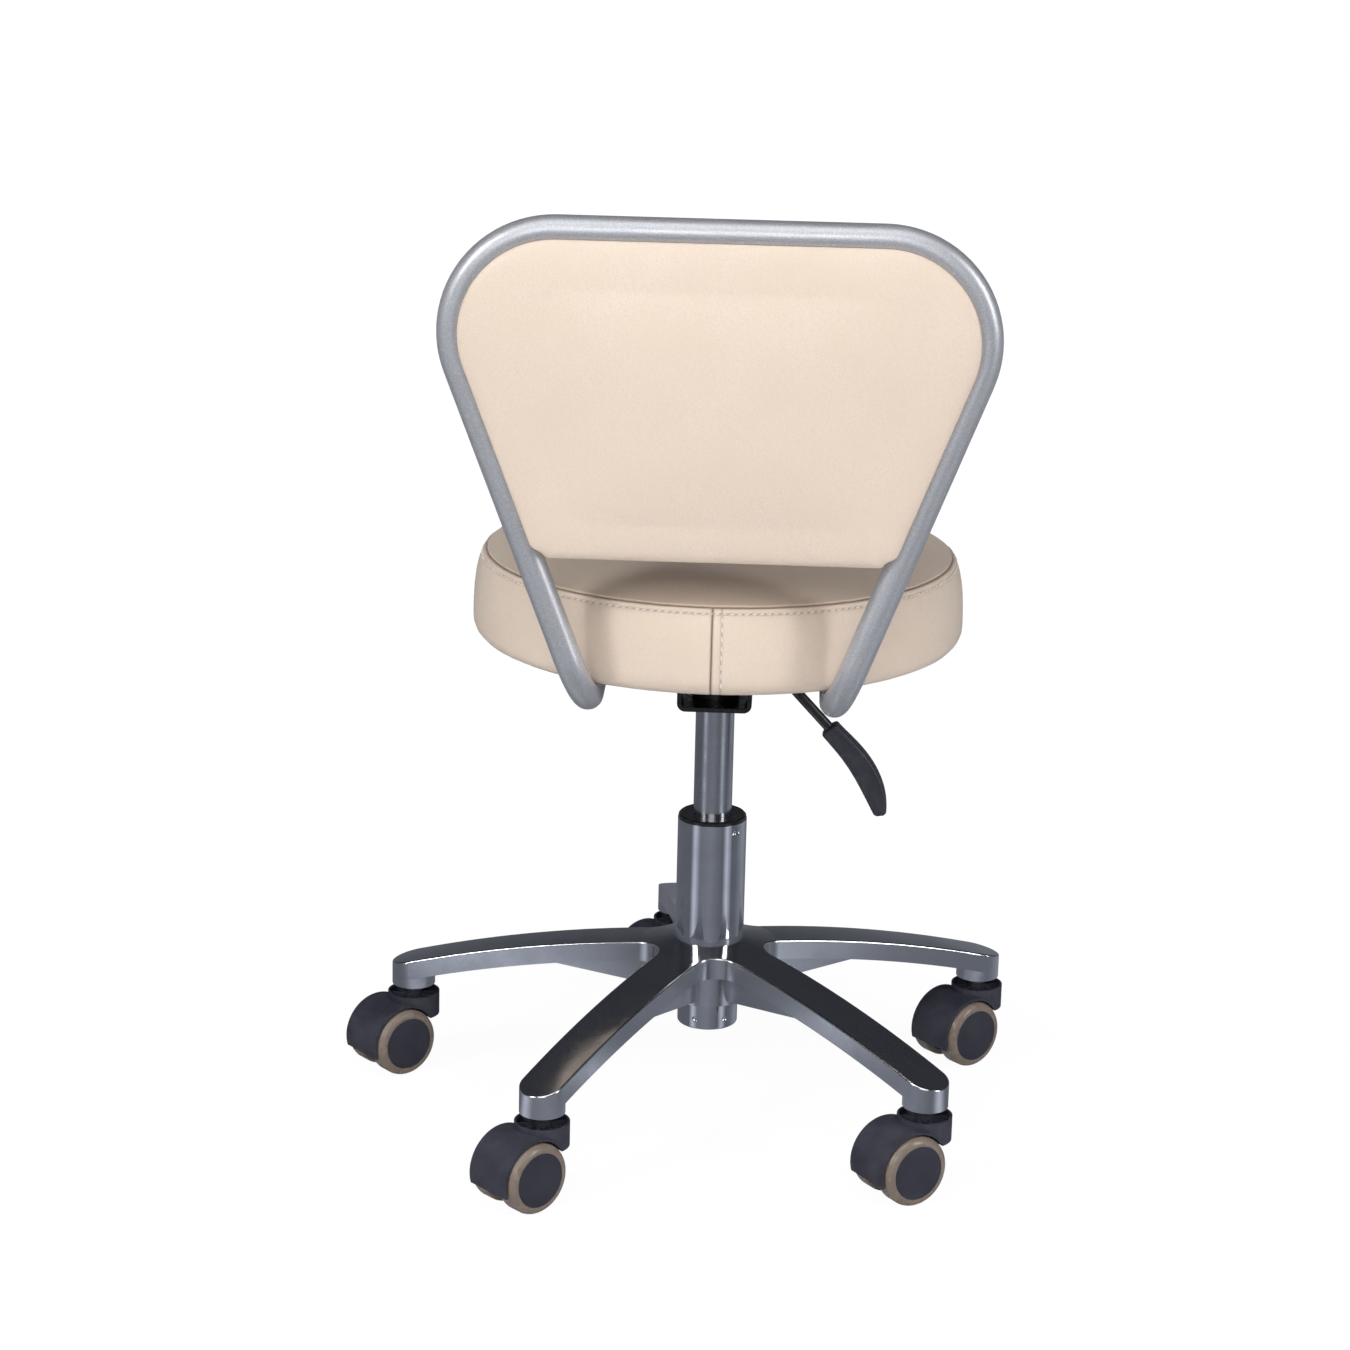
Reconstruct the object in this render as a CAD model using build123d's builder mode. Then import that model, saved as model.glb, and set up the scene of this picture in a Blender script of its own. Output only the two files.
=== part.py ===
"""Pedicure stool: five-star base on twin-wheel castors, gas lift, round seat and framed backrest.

Millimetres. The floor is z = 0 and the lift column is the Z axis. The sitter faces -Y, the
backrest stands on the +Y side and the height lever is on the -X side, at the sitter's right hand.
The seat is drawn fully raised, which is where the gas lift rests.
"""

from build123d import *
from math import atan2, cos, radians, sin, sqrt, tan
import os

os.makedirs("parts", exist_ok=True)

# ------------------------------------------------------------------ general fits
running = 0.05  # radial gap of a turning or sliding fit
air = 0.5  # gap between pieces that pass each other

# ------------------------------------------------------------------ castors
leg_names = ["front", "left", "rear_left", "rear_right", "right"]
wheel_radius = 25.0
castor_trail = 20.2  # from the stem axis back to the axle
castor_headings = [40.0, 41.2, 44.5, 34.4, 40.7]  # way each castor trails, degrees from +X
disc_plane = 23.2  # outer face of a wheel, from the castor's middle plane
disc_radius = 19.3
tread_edge = 19.8  # where the tread turns into the rounded shoulder
wheel_inner_plane = 7.2
rim_radius = 21.2
hub_radius = 6.0
axle_radius = 3.0
hood_gap = 1.3  # between tread and hood
hood_wall = 1.6
hood_half = 19.0
hood_drop = 8.0  # how far the hood reaches below the axle at the back
web_half = 6.5
web_radius = 16.0
flange_radius = 19.25
flange_wall = 1.7
flange_top = 56.4
flange_floor = 51.2
skirt_bottom = 39.0
rib_count = 9
rib_thickness = 0.9
rib_drop = 1.8  # from the collar's lip down to the ribs
stem_radius = 4.0
stem_foot = 30.0
stem_head_radius = 7.5
stem_collar = (59.0, 63.0)  # bottom and top of the collar
stem_upper_radius = 4.7
grip_radius = 5.5
grip_length = 15.0

# ------------------------------------------------------------------ star base
leg_count = 5
castor_circle = 225.3
base_turn = 7.7  # the front leg's turn away from straight ahead
arm_half_hub = 17.5
arm_half_end = 16.0
crotch_radius = 18.0
arm_profile = [(50.0, 118.4), (150.0, 102.9), (243.0, 79.0)]  # (radius, height) along the top
arm_depth = 14.4
arm_wall = 3.6
arm_edge = 1.2
hub_crease = 122.7
hub_boss_radius = 26.6
hub_boss_bottom = 76.6
rib_half = 5.0
rib_reach = 128.0
socket_bottom = stem_collar[1]

# ------------------------------------------------------------------ gas lift
column_radius = 25.0
column_wall = 2.0
column_top = 214.0
column_foot_radius = 22.0
column_bottom = 56.5
taper_top = 120.0
dimple_radius = 2.6
dimple_depth = 1.0
dimple_rings = [  # height, count, first angle and step in degrees
    (column_bottom + 8, 6, 66.0, 60.0),
    (column_top - 6, 2, 130.0, 12.0),
]
bush_top = 217.3
bush_length = 78.0
end_plate_thickness = 2.5
end_plate_bottom = 62.5
cylinder_radius = 14.0
cylinder_wall = 1.5
cylinder_bottom = 155.0
cylinder_top = 336.0
lift_taper_length = 30.0
lift_taper_drop = 0.8
gland_length = 18.0
rod_radius = 5.0
rod_neck_radius = 3.5
piston_bottom = 196.0
piston_length = 14.0
bearing_radius = 12.0
bearing_thickness = 4.0
bumper_radius = 11.0
bumper_thickness = 5.0
clip_radius = 7.0
clip_height = 1.2
clip_gap = 0.1
clip_seat_depth = 0.7
valve_pin_radius = 3.5
valve_pin_top = 339.2
valve_pin_length = 16.0

# ------------------------------------------------------------------ lever mechanism
plate_half = 60.0
plate_thickness = 3.0
channel_width = 53.0
channel_length = 78.0
channel_bottom = 304.0
channel_sheet = 3.0
channel_bend = 6.0
socket_tube_radius = 17.0
socket_tube_recess = 2.0  # how far the cylinder's tip stands out of the socket
lever_radius = 3.75
lever_height = 343.2
lever_pivot_x = -16.0
lever_bend_x = -27.4
lever_droop = 47.0
lever_bend_radius = 10.0
lever_rod_length = 92.0
lever_tip_x = 4.0
lug_gap = 5.5
lug_thickness = 2.5
pivot_radius = 1.5
handle_length = 74.0
handle_width = 15.0
handle_thickness = 12.0
handle_overlap = 12.0

# ------------------------------------------------------------------ seat
seat_underside = 353.0
board_thickness = 12.0
cover_thickness = 1.2
seat_radius = 174.0
seam_radius = 166.0
seam_height = 414.5
seat_bulge_height = 382.0
seat_edge_radius = 12.0
seat_crown = 427.0
seat_flat_radius = 70.0
hem_inner_radius = 140.0
bolt_radius = 3.0
bolt_head_radius = 5.5
bolt_head_height = 4.0
nut_radius = 4.2
nut_flange_radius = 8.0
nut_flange = 1.5
plate_bolt_spacing = 92.0

# ------------------------------------------------------------------ back frame and pad
tube_radius = 9.5
tube_wall = 1.5
recline = 3.0
frame_low_half = 82.6  # half spread where the side meets the level of the feet
frame_low_y = 173.2
frame_high_half = 203.7
frame_high_z = 666.5
frame_corner = 68.4
foot_bend = 38.0
foot_end_y = 60.0
foot_bolt_ys = [78.0, 104.0]
plug_length = 12.0
plug_cap = 2.0
pad_gap = 0.5
pad_bottom = 449.5
pad_corner = 12.0
pad_front = 30.0
pad_rear = 12.0
back_board_thickness = 9.0
board_inset = 6.0
tab_thickness = 3.0
tab_width = 22.0
tab_reach = 24.0
tab_heights = [500.0, 590.0]
screw_radius = 2.0
screw_length = 10.0
screw_head_height = 2.2
screw_inset = 7.0  # from the end of a tab to its screw


def save(solid, name):
    """Label a finished piece and write it to its own STEP file."""
    solid.label = name
    export_step(solid, f"parts/{name}.step")


def spot(radius, angle, height=0.0):
    """A point at a radius and an angle in degrees about the column."""
    return Vector(radius * cos(radians(angle)), radius * sin(radians(angle)), height)


arm_arc = ThreePointArc(*arm_profile)


def top_at(radius):
    """Height of the arms' top surface at a radius, on the arc through the three profile points."""
    centre = arm_arc.arc_center
    return centre.Y + sqrt(arm_arc.radius**2 - (radius - centre.X) ** 2)


leg_angles = [-90.0 + base_turn + 360.0 / leg_count * k for k in range(leg_count)]


# ================================================================== castors
def castor(leg, stem_at, heading):
    """One twin-wheel castor: housing, axle, two rims and two tyres, trailing along its heading."""
    trail = Vector(cos(radians(heading)), sin(radians(heading)), 0)
    across = Vector(-trail.Y, trail.X, 0)
    upright = Plane(origin=stem_at, x_dir=trail, z_dir=(0, 0, 1))
    axle_at = stem_at + trail * castor_trail + Vector(0, 0, wheel_radius)
    middle = Plane(origin=axle_at, x_dir=trail, z_dir=-across)
    hood_inner = wheel_radius + hood_gap
    hood_outer = hood_inner + hood_wall
    web_top = skirt_bottom - wheel_radius + 1
    web_foot = stem_foot - air - wheel_radius - 2

    with BuildPart() as housing:
        with BuildSketch(middle.offset(-hood_half)):
            Circle(hood_outer)
        extrude(amount=2 * hood_half)
        with BuildSketch(upright.offset(skirt_bottom)):
            Circle(flange_radius)
        extrude(amount=flange_top - skirt_bottom)
        # the two wheel wells leave a middle web
        with BuildSketch(middle.offset(web_half), middle.offset(-web_half - hood_half)):
            Circle(hood_inner)
        extrude(amount=hood_half, mode=Mode.SUBTRACT)
        # the wheels show below the skirt at the front and below the hood's lip at the back
        with BuildSketch(middle.offset(-hood_half - air)):
            with Locations((-hood_outer, 0)):
                Rectangle(2 * hood_outer, 2 * (skirt_bottom - wheel_radius))
            with Locations((0, -hood_outer)):
                Rectangle(4 * hood_outer, 2 * (hood_outer - hood_drop))
            with Locations((-hood_outer, -hood_outer)):
                Rectangle(2 * hood_outer, 2 * hood_outer)
        extrude(amount=2 * (hood_half + air), mode=Mode.SUBTRACT)
        # web round the axle and the stem
        with BuildSketch(middle.offset(-web_half)):
            Circle(web_radius)
            with BuildLine():
                Polyline(
                    (-castor_trail - web_half, web_top),
                    (-castor_trail - web_half, web_foot),
                    (-castor_trail + web_half, web_foot),
                    (0, -web_radius),
                    (0, web_radius),
                    (-castor_trail - web_half, web_top),
                )
            make_face()
        extrude(amount=2 * web_half)
        # open collar at the top, with a boss for the stem and thin ribs
        with BuildSketch(upright.offset(flange_floor)):
            Circle(flange_radius - flange_wall)
        extrude(amount=flange_top - flange_floor, mode=Mode.SUBTRACT)
        with BuildSketch(upright.offset(flange_floor)):
            Circle(web_half)
        extrude(amount=stem_collar[0] - air - flange_floor)
        with BuildSketch(upright.offset(flange_floor)):
            with PolarLocations((flange_radius + web_half) / 2, rib_count):
                Rectangle(flange_radius - web_half - flange_wall / 2, rib_thickness)
        extrude(amount=flange_top - flange_floor - rib_drop)
        with BuildSketch(upright.offset(stem_foot - air)):
            Circle(stem_radius + running)
        extrude(amount=flange_top, mode=Mode.SUBTRACT)
        with BuildSketch(middle.offset(-web_half)):
            Circle(axle_radius)
        extrude(amount=2 * web_half, mode=Mode.SUBTRACT)
    save(housing.part, f"{leg}_castor_housing")

    axle_half = disc_plane - 2.5
    with BuildPart() as axle:
        with BuildSketch(middle.offset(-axle_half)):
            Circle(axle_radius)
        extrude(amount=2 * axle_half)
        chamfer(axle.edges(), 0.4)
    save(axle.part, f"{leg}_castor_axle")

    bore = axle_radius + running
    for side, sign in (("left", 1.0), ("right", -1.0)):
        # sections are drawn with x along the axle, outwards, and y along the radius
        section = Plane(origin=axle_at, x_dir=across * sign, z_dir=trail * sign)
        spin = Axis(axle_at, across)
        with BuildPart() as rim:
            with BuildSketch(section):
                with BuildLine():
                    Polyline(
                        (wheel_inner_plane, bore),
                        (axle_half + air, bore),
                        (axle_half + air, 0),
                        (disc_plane, 0),
                        (disc_plane, disc_radius - 0.4),
                        (disc_plane - 0.4, disc_radius),
                        (tread_edge, disc_radius),
                        (tread_edge, rim_radius),
                        (wheel_inner_plane + 1, rim_radius),
                        (wheel_inner_plane + 1, rim_radius - 2.2),
                        (disc_plane - 3.5, rim_radius - 3.4),
                        (disc_plane - 3.5, hub_radius),
                        (wheel_inner_plane, hub_radius),
                        (wheel_inner_plane, bore),
                    )
                make_face()
            revolve(axis=spin)
        save(rim.part, f"{leg}_castor_{side}_rim")

        with BuildPart() as tyre:
            with BuildSketch(section):
                with BuildLine():
                    Polyline(
                        (disc_plane - 0.3, disc_radius),
                        (tread_edge, disc_radius),
                        (tread_edge, rim_radius),
                        (wheel_inner_plane + 1, rim_radius),
                        (wheel_inner_plane + 1, wheel_radius - 1.5),
                    )
                    RadiusArc(
                        (wheel_inner_plane + 1, wheel_radius - 1.5),
                        (wheel_inner_plane + 2.5, wheel_radius),
                        1.5,
                    )
                    Line((wheel_inner_plane + 2.5, wheel_radius), (tread_edge - 1, wheel_radius))
                    ThreePointArc(
                        (tread_edge - 1, wheel_radius),
                        (disc_plane - 1.1, wheel_radius - 2.1),
                        (disc_plane - 0.3, disc_radius),
                    )
                make_face()
            revolve(axis=spin)
        save(tyre.part, f"{leg}_castor_{side}_tyre")


for leg, angle, heading in zip(leg_names, leg_angles, castor_headings):
    castor(leg, spot(castor_circle, angle), heading)

with BuildPart() as castor_stems:
    with BuildSketch(Plane.XY.offset(stem_foot)):
        with PolarLocations(castor_circle, leg_count, start_angle=leg_angles[0]):
            Circle(stem_radius)
    extrude(amount=stem_collar[0] - stem_foot)
    with BuildSketch(Plane.XY.offset(stem_collar[0])):
        with PolarLocations(castor_circle, leg_count, start_angle=leg_angles[0]):
            Circle(stem_head_radius)
    extrude(amount=stem_collar[1] - stem_collar[0])
    with BuildSketch(Plane.XY.offset(stem_collar[1])):
        with PolarLocations(castor_circle, leg_count, start_angle=leg_angles[0]):
            Circle(stem_upper_radius)
    extrude(amount=grip_length)
save(castor_stems.part, "castor_stems")

with BuildPart() as castor_grip_rings:
    with BuildSketch(Plane.XY.offset(stem_collar[1])):
        with PolarLocations(castor_circle, leg_count, start_angle=leg_angles[0]):
            Circle(grip_radius)
            Circle(stem_upper_radius, mode=Mode.SUBTRACT)
    extrude(amount=grip_length)
save(castor_grip_rings.part, "castor_grip_rings")


# ================================================================== star base
def star(inset):
    """Plan of the five arms, drawn smaller by an inset, with rounded ends and crotches."""
    half_hub = arm_half_hub - inset
    half_end = arm_half_end - inset
    with BuildSketch() as plan:
        with PolarLocations(0, leg_count, start_angle=leg_angles[0]):
            Polygon(
                (0, -half_hub),
                (castor_circle, -half_end),
                (castor_circle, half_end),
                (0, half_hub),
                align=None,
            )
        crotches = [v for v in plan.vertices() if 1 < sqrt(v.X**2 + v.Y**2) < castor_circle / 2]
        fillet(crotches, crotch_radius + inset)
        with PolarLocations(castor_circle, leg_count, start_angle=leg_angles[0]):
            Circle(half_end)
    return plan.sketch


def arm_band(skin, depth):
    """Solid of revolution between the arms' top surface, lowered by a skin, and a depth below it."""
    (r1, z1), (r2, z2), (r3, z3) = arm_profile
    with BuildPart() as band:
        with BuildSketch(Plane.XZ):
            with BuildLine():
                Line((0, hub_crease - skin), (column_radius, hub_crease - skin))
                Line((column_radius, hub_crease - skin), (r1, z1 - skin))
                ThreePointArc((r1, z1 - skin), (r2, z2 - skin), (r3, z3 - skin))
                Line((r3, z3 - skin), (r3, z3 - depth))
                ThreePointArc((r3, z3 - depth), (r2, z2 - depth), (r1, z1 - depth))
                Line((r1, z1 - depth), (0, z1 - depth))
                Line((0, z1 - depth), (0, hub_crease - skin))
            make_face()
        revolve(axis=Axis.Z)
    return band.part


def column_outline(offset, bottom, top):
    """Section of the tapered column, from its foot to its top, moved outwards by an offset."""
    with BuildSketch(Plane.XZ) as section:
        with BuildLine():
            Polyline(
                (0, bottom),
                (column_foot_radius + offset, bottom),
                (column_foot_radius + offset, hub_boss_bottom),
                (column_radius + offset, taper_top),
                (column_radius + offset, top),
                (0, top),
                (0, bottom),
            )
        make_face()
    return section.sketch


def on_rim(point):
    """Whether a point lies on the arms' upper rim, at the height of their top surface."""
    radius = sqrt(point.X**2 + point.Y**2)
    inside = column_radius + crotch_radius / 2
    return inside < radius < arm_profile[2][0] and point.Z > top_at(radius) - arm_depth / 4


with BuildPart() as star_base:
    extrude(star(0.0), amount=2 * hub_crease)
    add(arm_band(0.0, arm_depth), mode=Mode.INTERSECT)
    upper = [e for e in star_base.edges() if on_rim(e.center())]
    fillet(upper, arm_edge)
    # hollow underside
    pocket = extrude(star(arm_wall), amount=2 * hub_crease, mode=Mode.PRIVATE)
    pocket = pocket & arm_band(arm_wall, 2 * arm_depth)
    add(pocket, mode=Mode.SUBTRACT)
    # boss round the column and the bosses that take the castor stems
    with BuildSketch(Plane.XY.offset(hub_boss_bottom)):
        Circle(hub_boss_radius)
    extrude(amount=top_at(arm_profile[0][0]) - hub_boss_bottom)
    with BuildSketch(Plane.XY.offset(socket_bottom)):
        with PolarLocations(castor_circle, leg_count, start_angle=leg_angles[0]):
            Circle(arm_half_end)
    extrude(amount=arm_profile[2][1] - arm_wall - socket_bottom + 2)
    # deep rib under every arm, from the boss out to the middle of the arm
    for angle in leg_angles:
        along = Plane(origin=(0, 0, 0), x_dir=spot(1, angle), z_dir=spot(1, angle - 90))
        with BuildSketch(along.offset(-rib_half)):
            with BuildLine():
                Polyline(
                    (hub_boss_radius - 2, hub_boss_bottom + 3),
                    (rib_reach, top_at(rib_reach) - arm_depth),
                    (rib_reach, top_at(rib_reach) - arm_wall / 2),
                    (hub_boss_radius - 2, arm_profile[0][1] - arm_wall / 2),
                    (hub_boss_radius - 2, hub_boss_bottom + 3),
                )
            make_face()
        extrude(amount=2 * rib_half)
    revolve(column_outline(0.0, column_bottom, column_top), axis=Axis.Z, mode=Mode.SUBTRACT)
    with BuildSketch(Plane.XY.offset(socket_bottom)):
        with PolarLocations(castor_circle, leg_count, start_angle=leg_angles[0]):
            Circle(grip_radius)
    extrude(amount=grip_length, mode=Mode.SUBTRACT)
save(star_base.part, "star_base")


# ================================================================== gas lift
with BuildPart() as column_tube:
    revolve(column_outline(0.0, column_bottom, column_top), axis=Axis.Z)
    foot_rim = column_tube.edges().filter_by(GeomType.CIRCLE).sort_by(Axis.Z)[0]
    fillet(foot_rim, column_wall)
    bore = column_outline(-column_wall, column_bottom - 1, column_top + 1)
    revolve(bore, axis=Axis.Z, mode=Mode.SUBTRACT)
    for height, count, first, step in dimple_rings:
        skin = column_foot_radius if height < taper_top else column_radius
        for k in range(count):
            with Locations(spot(skin + dimple_radius - dimple_depth, first + step * k, height)):
                Sphere(dimple_radius, mode=Mode.SUBTRACT)
save(column_tube.part, "column_tube")

with BuildPart() as column_guide_bush:
    with BuildSketch(Plane.XY.offset(column_top - bush_length)):
        Circle(column_radius - column_wall)
    extrude(amount=bush_length)
    with BuildSketch(Plane.XY.offset(column_top)):
        Circle(column_radius - 0.4)
    extrude(amount=bush_top - column_top)
    chamfer(column_guide_bush.edges().sort_by(Axis.Z)[-1], 1.2)
    with BuildSketch(Plane.XY.offset(column_top - bush_length)):
        Circle(cylinder_radius + running)
    extrude(amount=bush_length + bush_top, mode=Mode.SUBTRACT)
save(column_guide_bush.part, "column_guide_bush")

with BuildPart() as column_end_plate:
    with BuildSketch(Plane.XY.offset(end_plate_bottom)):
        Circle(column_foot_radius - column_wall)
        Circle(rod_neck_radius + running, mode=Mode.SUBTRACT)
    extrude(amount=end_plate_thickness)
save(column_end_plate.part, "column_end_plate")

end_plate_top = end_plate_bottom + end_plate_thickness
bearing_top = end_plate_top + bearing_thickness
with BuildPart() as thrust_bearing:
    with BuildSketch(Plane.XY.offset(end_plate_top)):
        Circle(bearing_radius)
        Circle(rod_neck_radius, mode=Mode.SUBTRACT)
    extrude(amount=bearing_thickness)
    groove = bearing_thickness / 3
    with BuildSketch(Plane.XY.offset(end_plate_top + groove)):
        Circle(bearing_radius)
        Circle(bearing_radius - groove, mode=Mode.SUBTRACT)
    extrude(amount=groove, mode=Mode.SUBTRACT)
save(thrust_bearing.part, "thrust_bearing")

with BuildPart() as rubber_bumper:
    with BuildSketch(Plane.XY.offset(bearing_top)):
        Circle(bumper_radius)
        Circle(rod_neck_radius, mode=Mode.SUBTRACT)
    extrude(amount=bumper_thickness)
save(rubber_bumper.part, "rubber_bumper")

with BuildPart() as rod_clip:
    with BuildSketch(Plane.XY.offset(end_plate_bottom - clip_gap - clip_height)):
        Circle(clip_radius)
        Circle(rod_neck_radius - clip_seat_depth, mode=Mode.SUBTRACT)
        with Locations((clip_radius, 0)):
            Rectangle(clip_radius, rod_neck_radius, mode=Mode.SUBTRACT)
    extrude(amount=clip_height)
save(rod_clip.part, "rod_clip")

with BuildPart() as piston_rod:
    with BuildSketch(Plane.XY.offset(column_bottom + 1)):
        Circle(rod_neck_radius)
    extrude(amount=bearing_top + bumper_thickness - column_bottom - 1)
    with BuildSketch(Plane.XY.offset(bearing_top + bumper_thickness)):
        Circle(rod_radius)
    extrude(amount=piston_bottom - bearing_top - bumper_thickness)
    with BuildSketch(Plane.XY.offset(piston_bottom)):
        Circle(cylinder_radius - cylinder_wall - running)
    extrude(amount=piston_length)
    with BuildSketch(Plane.XY.offset(end_plate_bottom - clip_gap - clip_height)):
        Circle(2 * rod_neck_radius)
        Circle(rod_neck_radius - clip_seat_depth, mode=Mode.SUBTRACT)
    extrude(amount=clip_height, mode=Mode.SUBTRACT)
save(piston_rod.part, "piston_rod")

lift_taper_bottom = cylinder_top - lift_taper_length
with BuildPart() as gas_cylinder:
    with BuildSketch(Plane.XZ):
        with BuildLine():
            Polyline(
                (cylinder_radius - cylinder_wall, cylinder_bottom),
                (cylinder_radius, cylinder_bottom),
                (cylinder_radius, lift_taper_bottom),
                (cylinder_radius - lift_taper_drop, cylinder_top),
                (valve_pin_radius + running, cylinder_top),
                (valve_pin_radius + running, cylinder_top - valve_pin_length),
                (cylinder_radius - cylinder_wall, cylinder_top - valve_pin_length),
                (cylinder_radius - cylinder_wall, cylinder_bottom),
            )
        make_face()
    revolve(axis=Axis.Z)
save(gas_cylinder.part, "gas_cylinder")

with BuildPart() as cylinder_gland:
    with BuildSketch(Plane.XY.offset(cylinder_bottom)):
        Circle(cylinder_radius - cylinder_wall)
        Circle(rod_radius + running, mode=Mode.SUBTRACT)
    extrude(amount=gland_length)
save(cylinder_gland.part, "cylinder_gland")

with BuildPart() as valve_pin:
    with BuildSketch(Plane.XY.offset(valve_pin_top - valve_pin_length)):
        Circle(valve_pin_radius)
    extrude(amount=valve_pin_length)
    chamfer(valve_pin.edges().sort_by(Axis.Z)[-1], 0.6)
save(valve_pin.part, "valve_pin")


# ================================================================== height mechanism
plate_bottom = seat_underside - plate_thickness
with BuildPart() as mechanism_plate:
    with BuildSketch(Plane.XY.offset(plate_bottom)):
        RectangleRounded(2 * plate_half, 2 * plate_half, 10)
        with GridLocations(plate_bolt_spacing, plate_bolt_spacing, 2, 2):
            Circle(bolt_radius, mode=Mode.SUBTRACT)
    extrude(amount=plate_thickness)
save(mechanism_plate.part, "mechanism_plate")

lever_wall_x = -channel_width / 2
lever_slot = (lever_height - 9, plate_bottom)
with BuildPart() as mechanism_housing:
    with BuildSketch(Plane.XZ.offset(-channel_length / 2)):
        with BuildLine():
            FilletPolyline(
                (-channel_width / 2 + channel_sheet / 2, plate_bottom),
                (-channel_width / 2 + channel_sheet / 2, channel_bottom + channel_sheet / 2),
                (channel_width / 2 - channel_sheet / 2, channel_bottom + channel_sheet / 2),
                (channel_width / 2 - channel_sheet / 2, plate_bottom),
                radius=channel_bend - channel_sheet / 2,
            )
        trace(line_width=channel_sheet)
        with Locations((0, plate_bottom + channel_sheet)):
            Rectangle(2 * channel_width, 2 * channel_sheet, mode=Mode.SUBTRACT)
    extrude(amount=channel_length)
    # slot for the lever and two lugs that carry its pivot
    with BuildSketch(Plane.YZ.offset(lever_wall_x - 1)):
        with Locations((0, (lever_slot[0] + lever_slot[1]) / 2)):
            Rectangle(2 * lever_radius + 3, lever_slot[1] - lever_slot[0])
    extrude(amount=channel_sheet + 2, mode=Mode.SUBTRACT)
    for side in (1, -1):
        low = Plane.XZ.offset(-side * (lug_gap + lug_thickness / 2) - lug_thickness / 2)
        with BuildSketch(low):
            with Locations((lever_pivot_x / 2 + lever_wall_x / 2 + 1, lever_height)):
                Rectangle(lever_pivot_x - lever_wall_x + 6, 8)
            with Locations((lever_pivot_x, lever_height)):
                Circle(pivot_radius + running, mode=Mode.SUBTRACT)
        extrude(amount=lug_thickness)
    # tapered socket, welded into the channel's floor
    with BuildSketch(Plane.XY.offset(channel_bottom)):
        Circle(socket_tube_radius)
    extrude(amount=cylinder_top - socket_tube_recess - channel_bottom)
    with BuildSketch(Plane.XZ):
        with BuildLine():
            Polyline(
                (0, channel_bottom),
                (cylinder_radius, channel_bottom),
                (cylinder_radius, lift_taper_bottom),
                (cylinder_radius - lift_taper_drop, cylinder_top),
                (0, cylinder_top),
                (0, channel_bottom),
            )
        make_face()
    revolve(axis=Axis.Z, mode=Mode.SUBTRACT)
save(mechanism_housing.part, "mechanism_housing")

with BuildPart() as lever_rod:
    droop = Vector(-cos(radians(lever_droop)), 0, -sin(radians(lever_droop)))
    bend_at = Vector(lever_bend_x, 0, lever_height)
    lever_end = bend_at + droop * lever_rod_length
    with BuildLine() as lever_path:
        FilletPolyline((lever_tip_x, 0, lever_height), bend_at, lever_end, radius=lever_bend_radius)
    with BuildSketch(Plane(origin=(lever_tip_x, 0, lever_height), z_dir=(-1, 0, 0))):
        Circle(lever_radius)
    sweep(path=lever_path.line)
    with BuildSketch(Plane.XZ.offset(-lug_gap - lug_thickness)):
        with Locations((lever_pivot_x, lever_height)):
            Circle(pivot_radius)
    extrude(amount=2 * (lug_gap + lug_thickness))
save(lever_rod.part, "lever_rod")

# the handle is drawn with x down the droop of the lever and y square to it, upwards
grip_plane = Plane(origin=lever_end - droop * handle_overlap, x_dir=droop, z_dir=(0, 1, 0))
with BuildPart() as lever_handle:
    with BuildSketch(grip_plane.offset(-handle_thickness / 2)):
        with BuildLine():
            half = handle_width / 2
            Polyline((handle_length * 0.2, half), (0, half), (0, -half), (handle_length * 0.2, -half))
            Spline(
                (handle_length * 0.2, -half),
                (handle_length * 0.38, -half - 0.7),
                (handle_length * 0.66, -half - 5),
                (handle_length, -half - 13),
                tangents=((1, 0), (0.55, -0.8)),
            )
            Spline(
                (handle_length, -half - 13),
                (handle_length + 1.5, -half - 8.5),
                (handle_length - 4, -half + 1),
                (handle_length * 0.6, half - 2.5),
                (handle_length * 0.2, half),
                tangents=((0.5, 0.8), (-1, 0)),
            )
        make_face()
    extrude(amount=handle_thickness)
    with BuildSketch(Plane(origin=lever_end - droop * handle_overlap, x_dir=(0, 1, 0), z_dir=droop)):
        Circle(lever_radius)
    extrude(amount=handle_overlap, mode=Mode.SUBTRACT)
save(lever_handle.part, "lever_handle")


# ================================================================== seat
def seat_section(inset):
    """Half section of the upholstered seat, drawn smaller by the thickness of the cover."""
    low = seat_underside + inset
    edge = seat_radius - inset
    edge_radius = seat_edge_radius
    with BuildSketch(Plane.XZ) as section:
        with BuildLine():
            Line((0, low), (edge - edge_radius, low))
            ThreePointArc(
                (edge - edge_radius, low),
                (edge - edge_radius * (1 - sin(radians(45))), low + edge_radius * (1 - cos(radians(45)))),
                (edge, low + edge_radius),
            )
            Spline(
                (edge, low + edge_radius),
                (edge, seat_bulge_height + 4),
                (seam_radius - inset, seam_height - inset),
                tangents=((0, 1), (-0.45, 1)),
            )
            Spline(
                (seam_radius - inset, seam_height - inset),
                (seat_flat_radius, seat_crown - inset),
                tangents=((-1, 0.22), (-1, 0)),
            )
            Line((seat_flat_radius, seat_crown - inset), (0, seat_crown - inset))
            Line((0, seat_crown - inset), (0, low))
        make_face()
    return section.sketch


board_bottom = seat_underside + cover_thickness
board_top = board_bottom + board_thickness
board_radius = seat_radius - cover_thickness - seat_edge_radius
foot_level = seat_underside - tube_radius


def foot_bolt_points():
    """Plan positions of the bolts that hold the two feet of the back frame."""
    return [(x, y) for x in (-frame_low_half, frame_low_half) for y in foot_bolt_ys]


def plate_bolt_points():
    """Plan positions of the mechanism plate's bolts."""
    half = plate_bolt_spacing / 2
    return [(x, y) for x in (-half, half) for y in (-half, half)]


bolt_points = plate_bolt_points() + foot_bolt_points()

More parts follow.
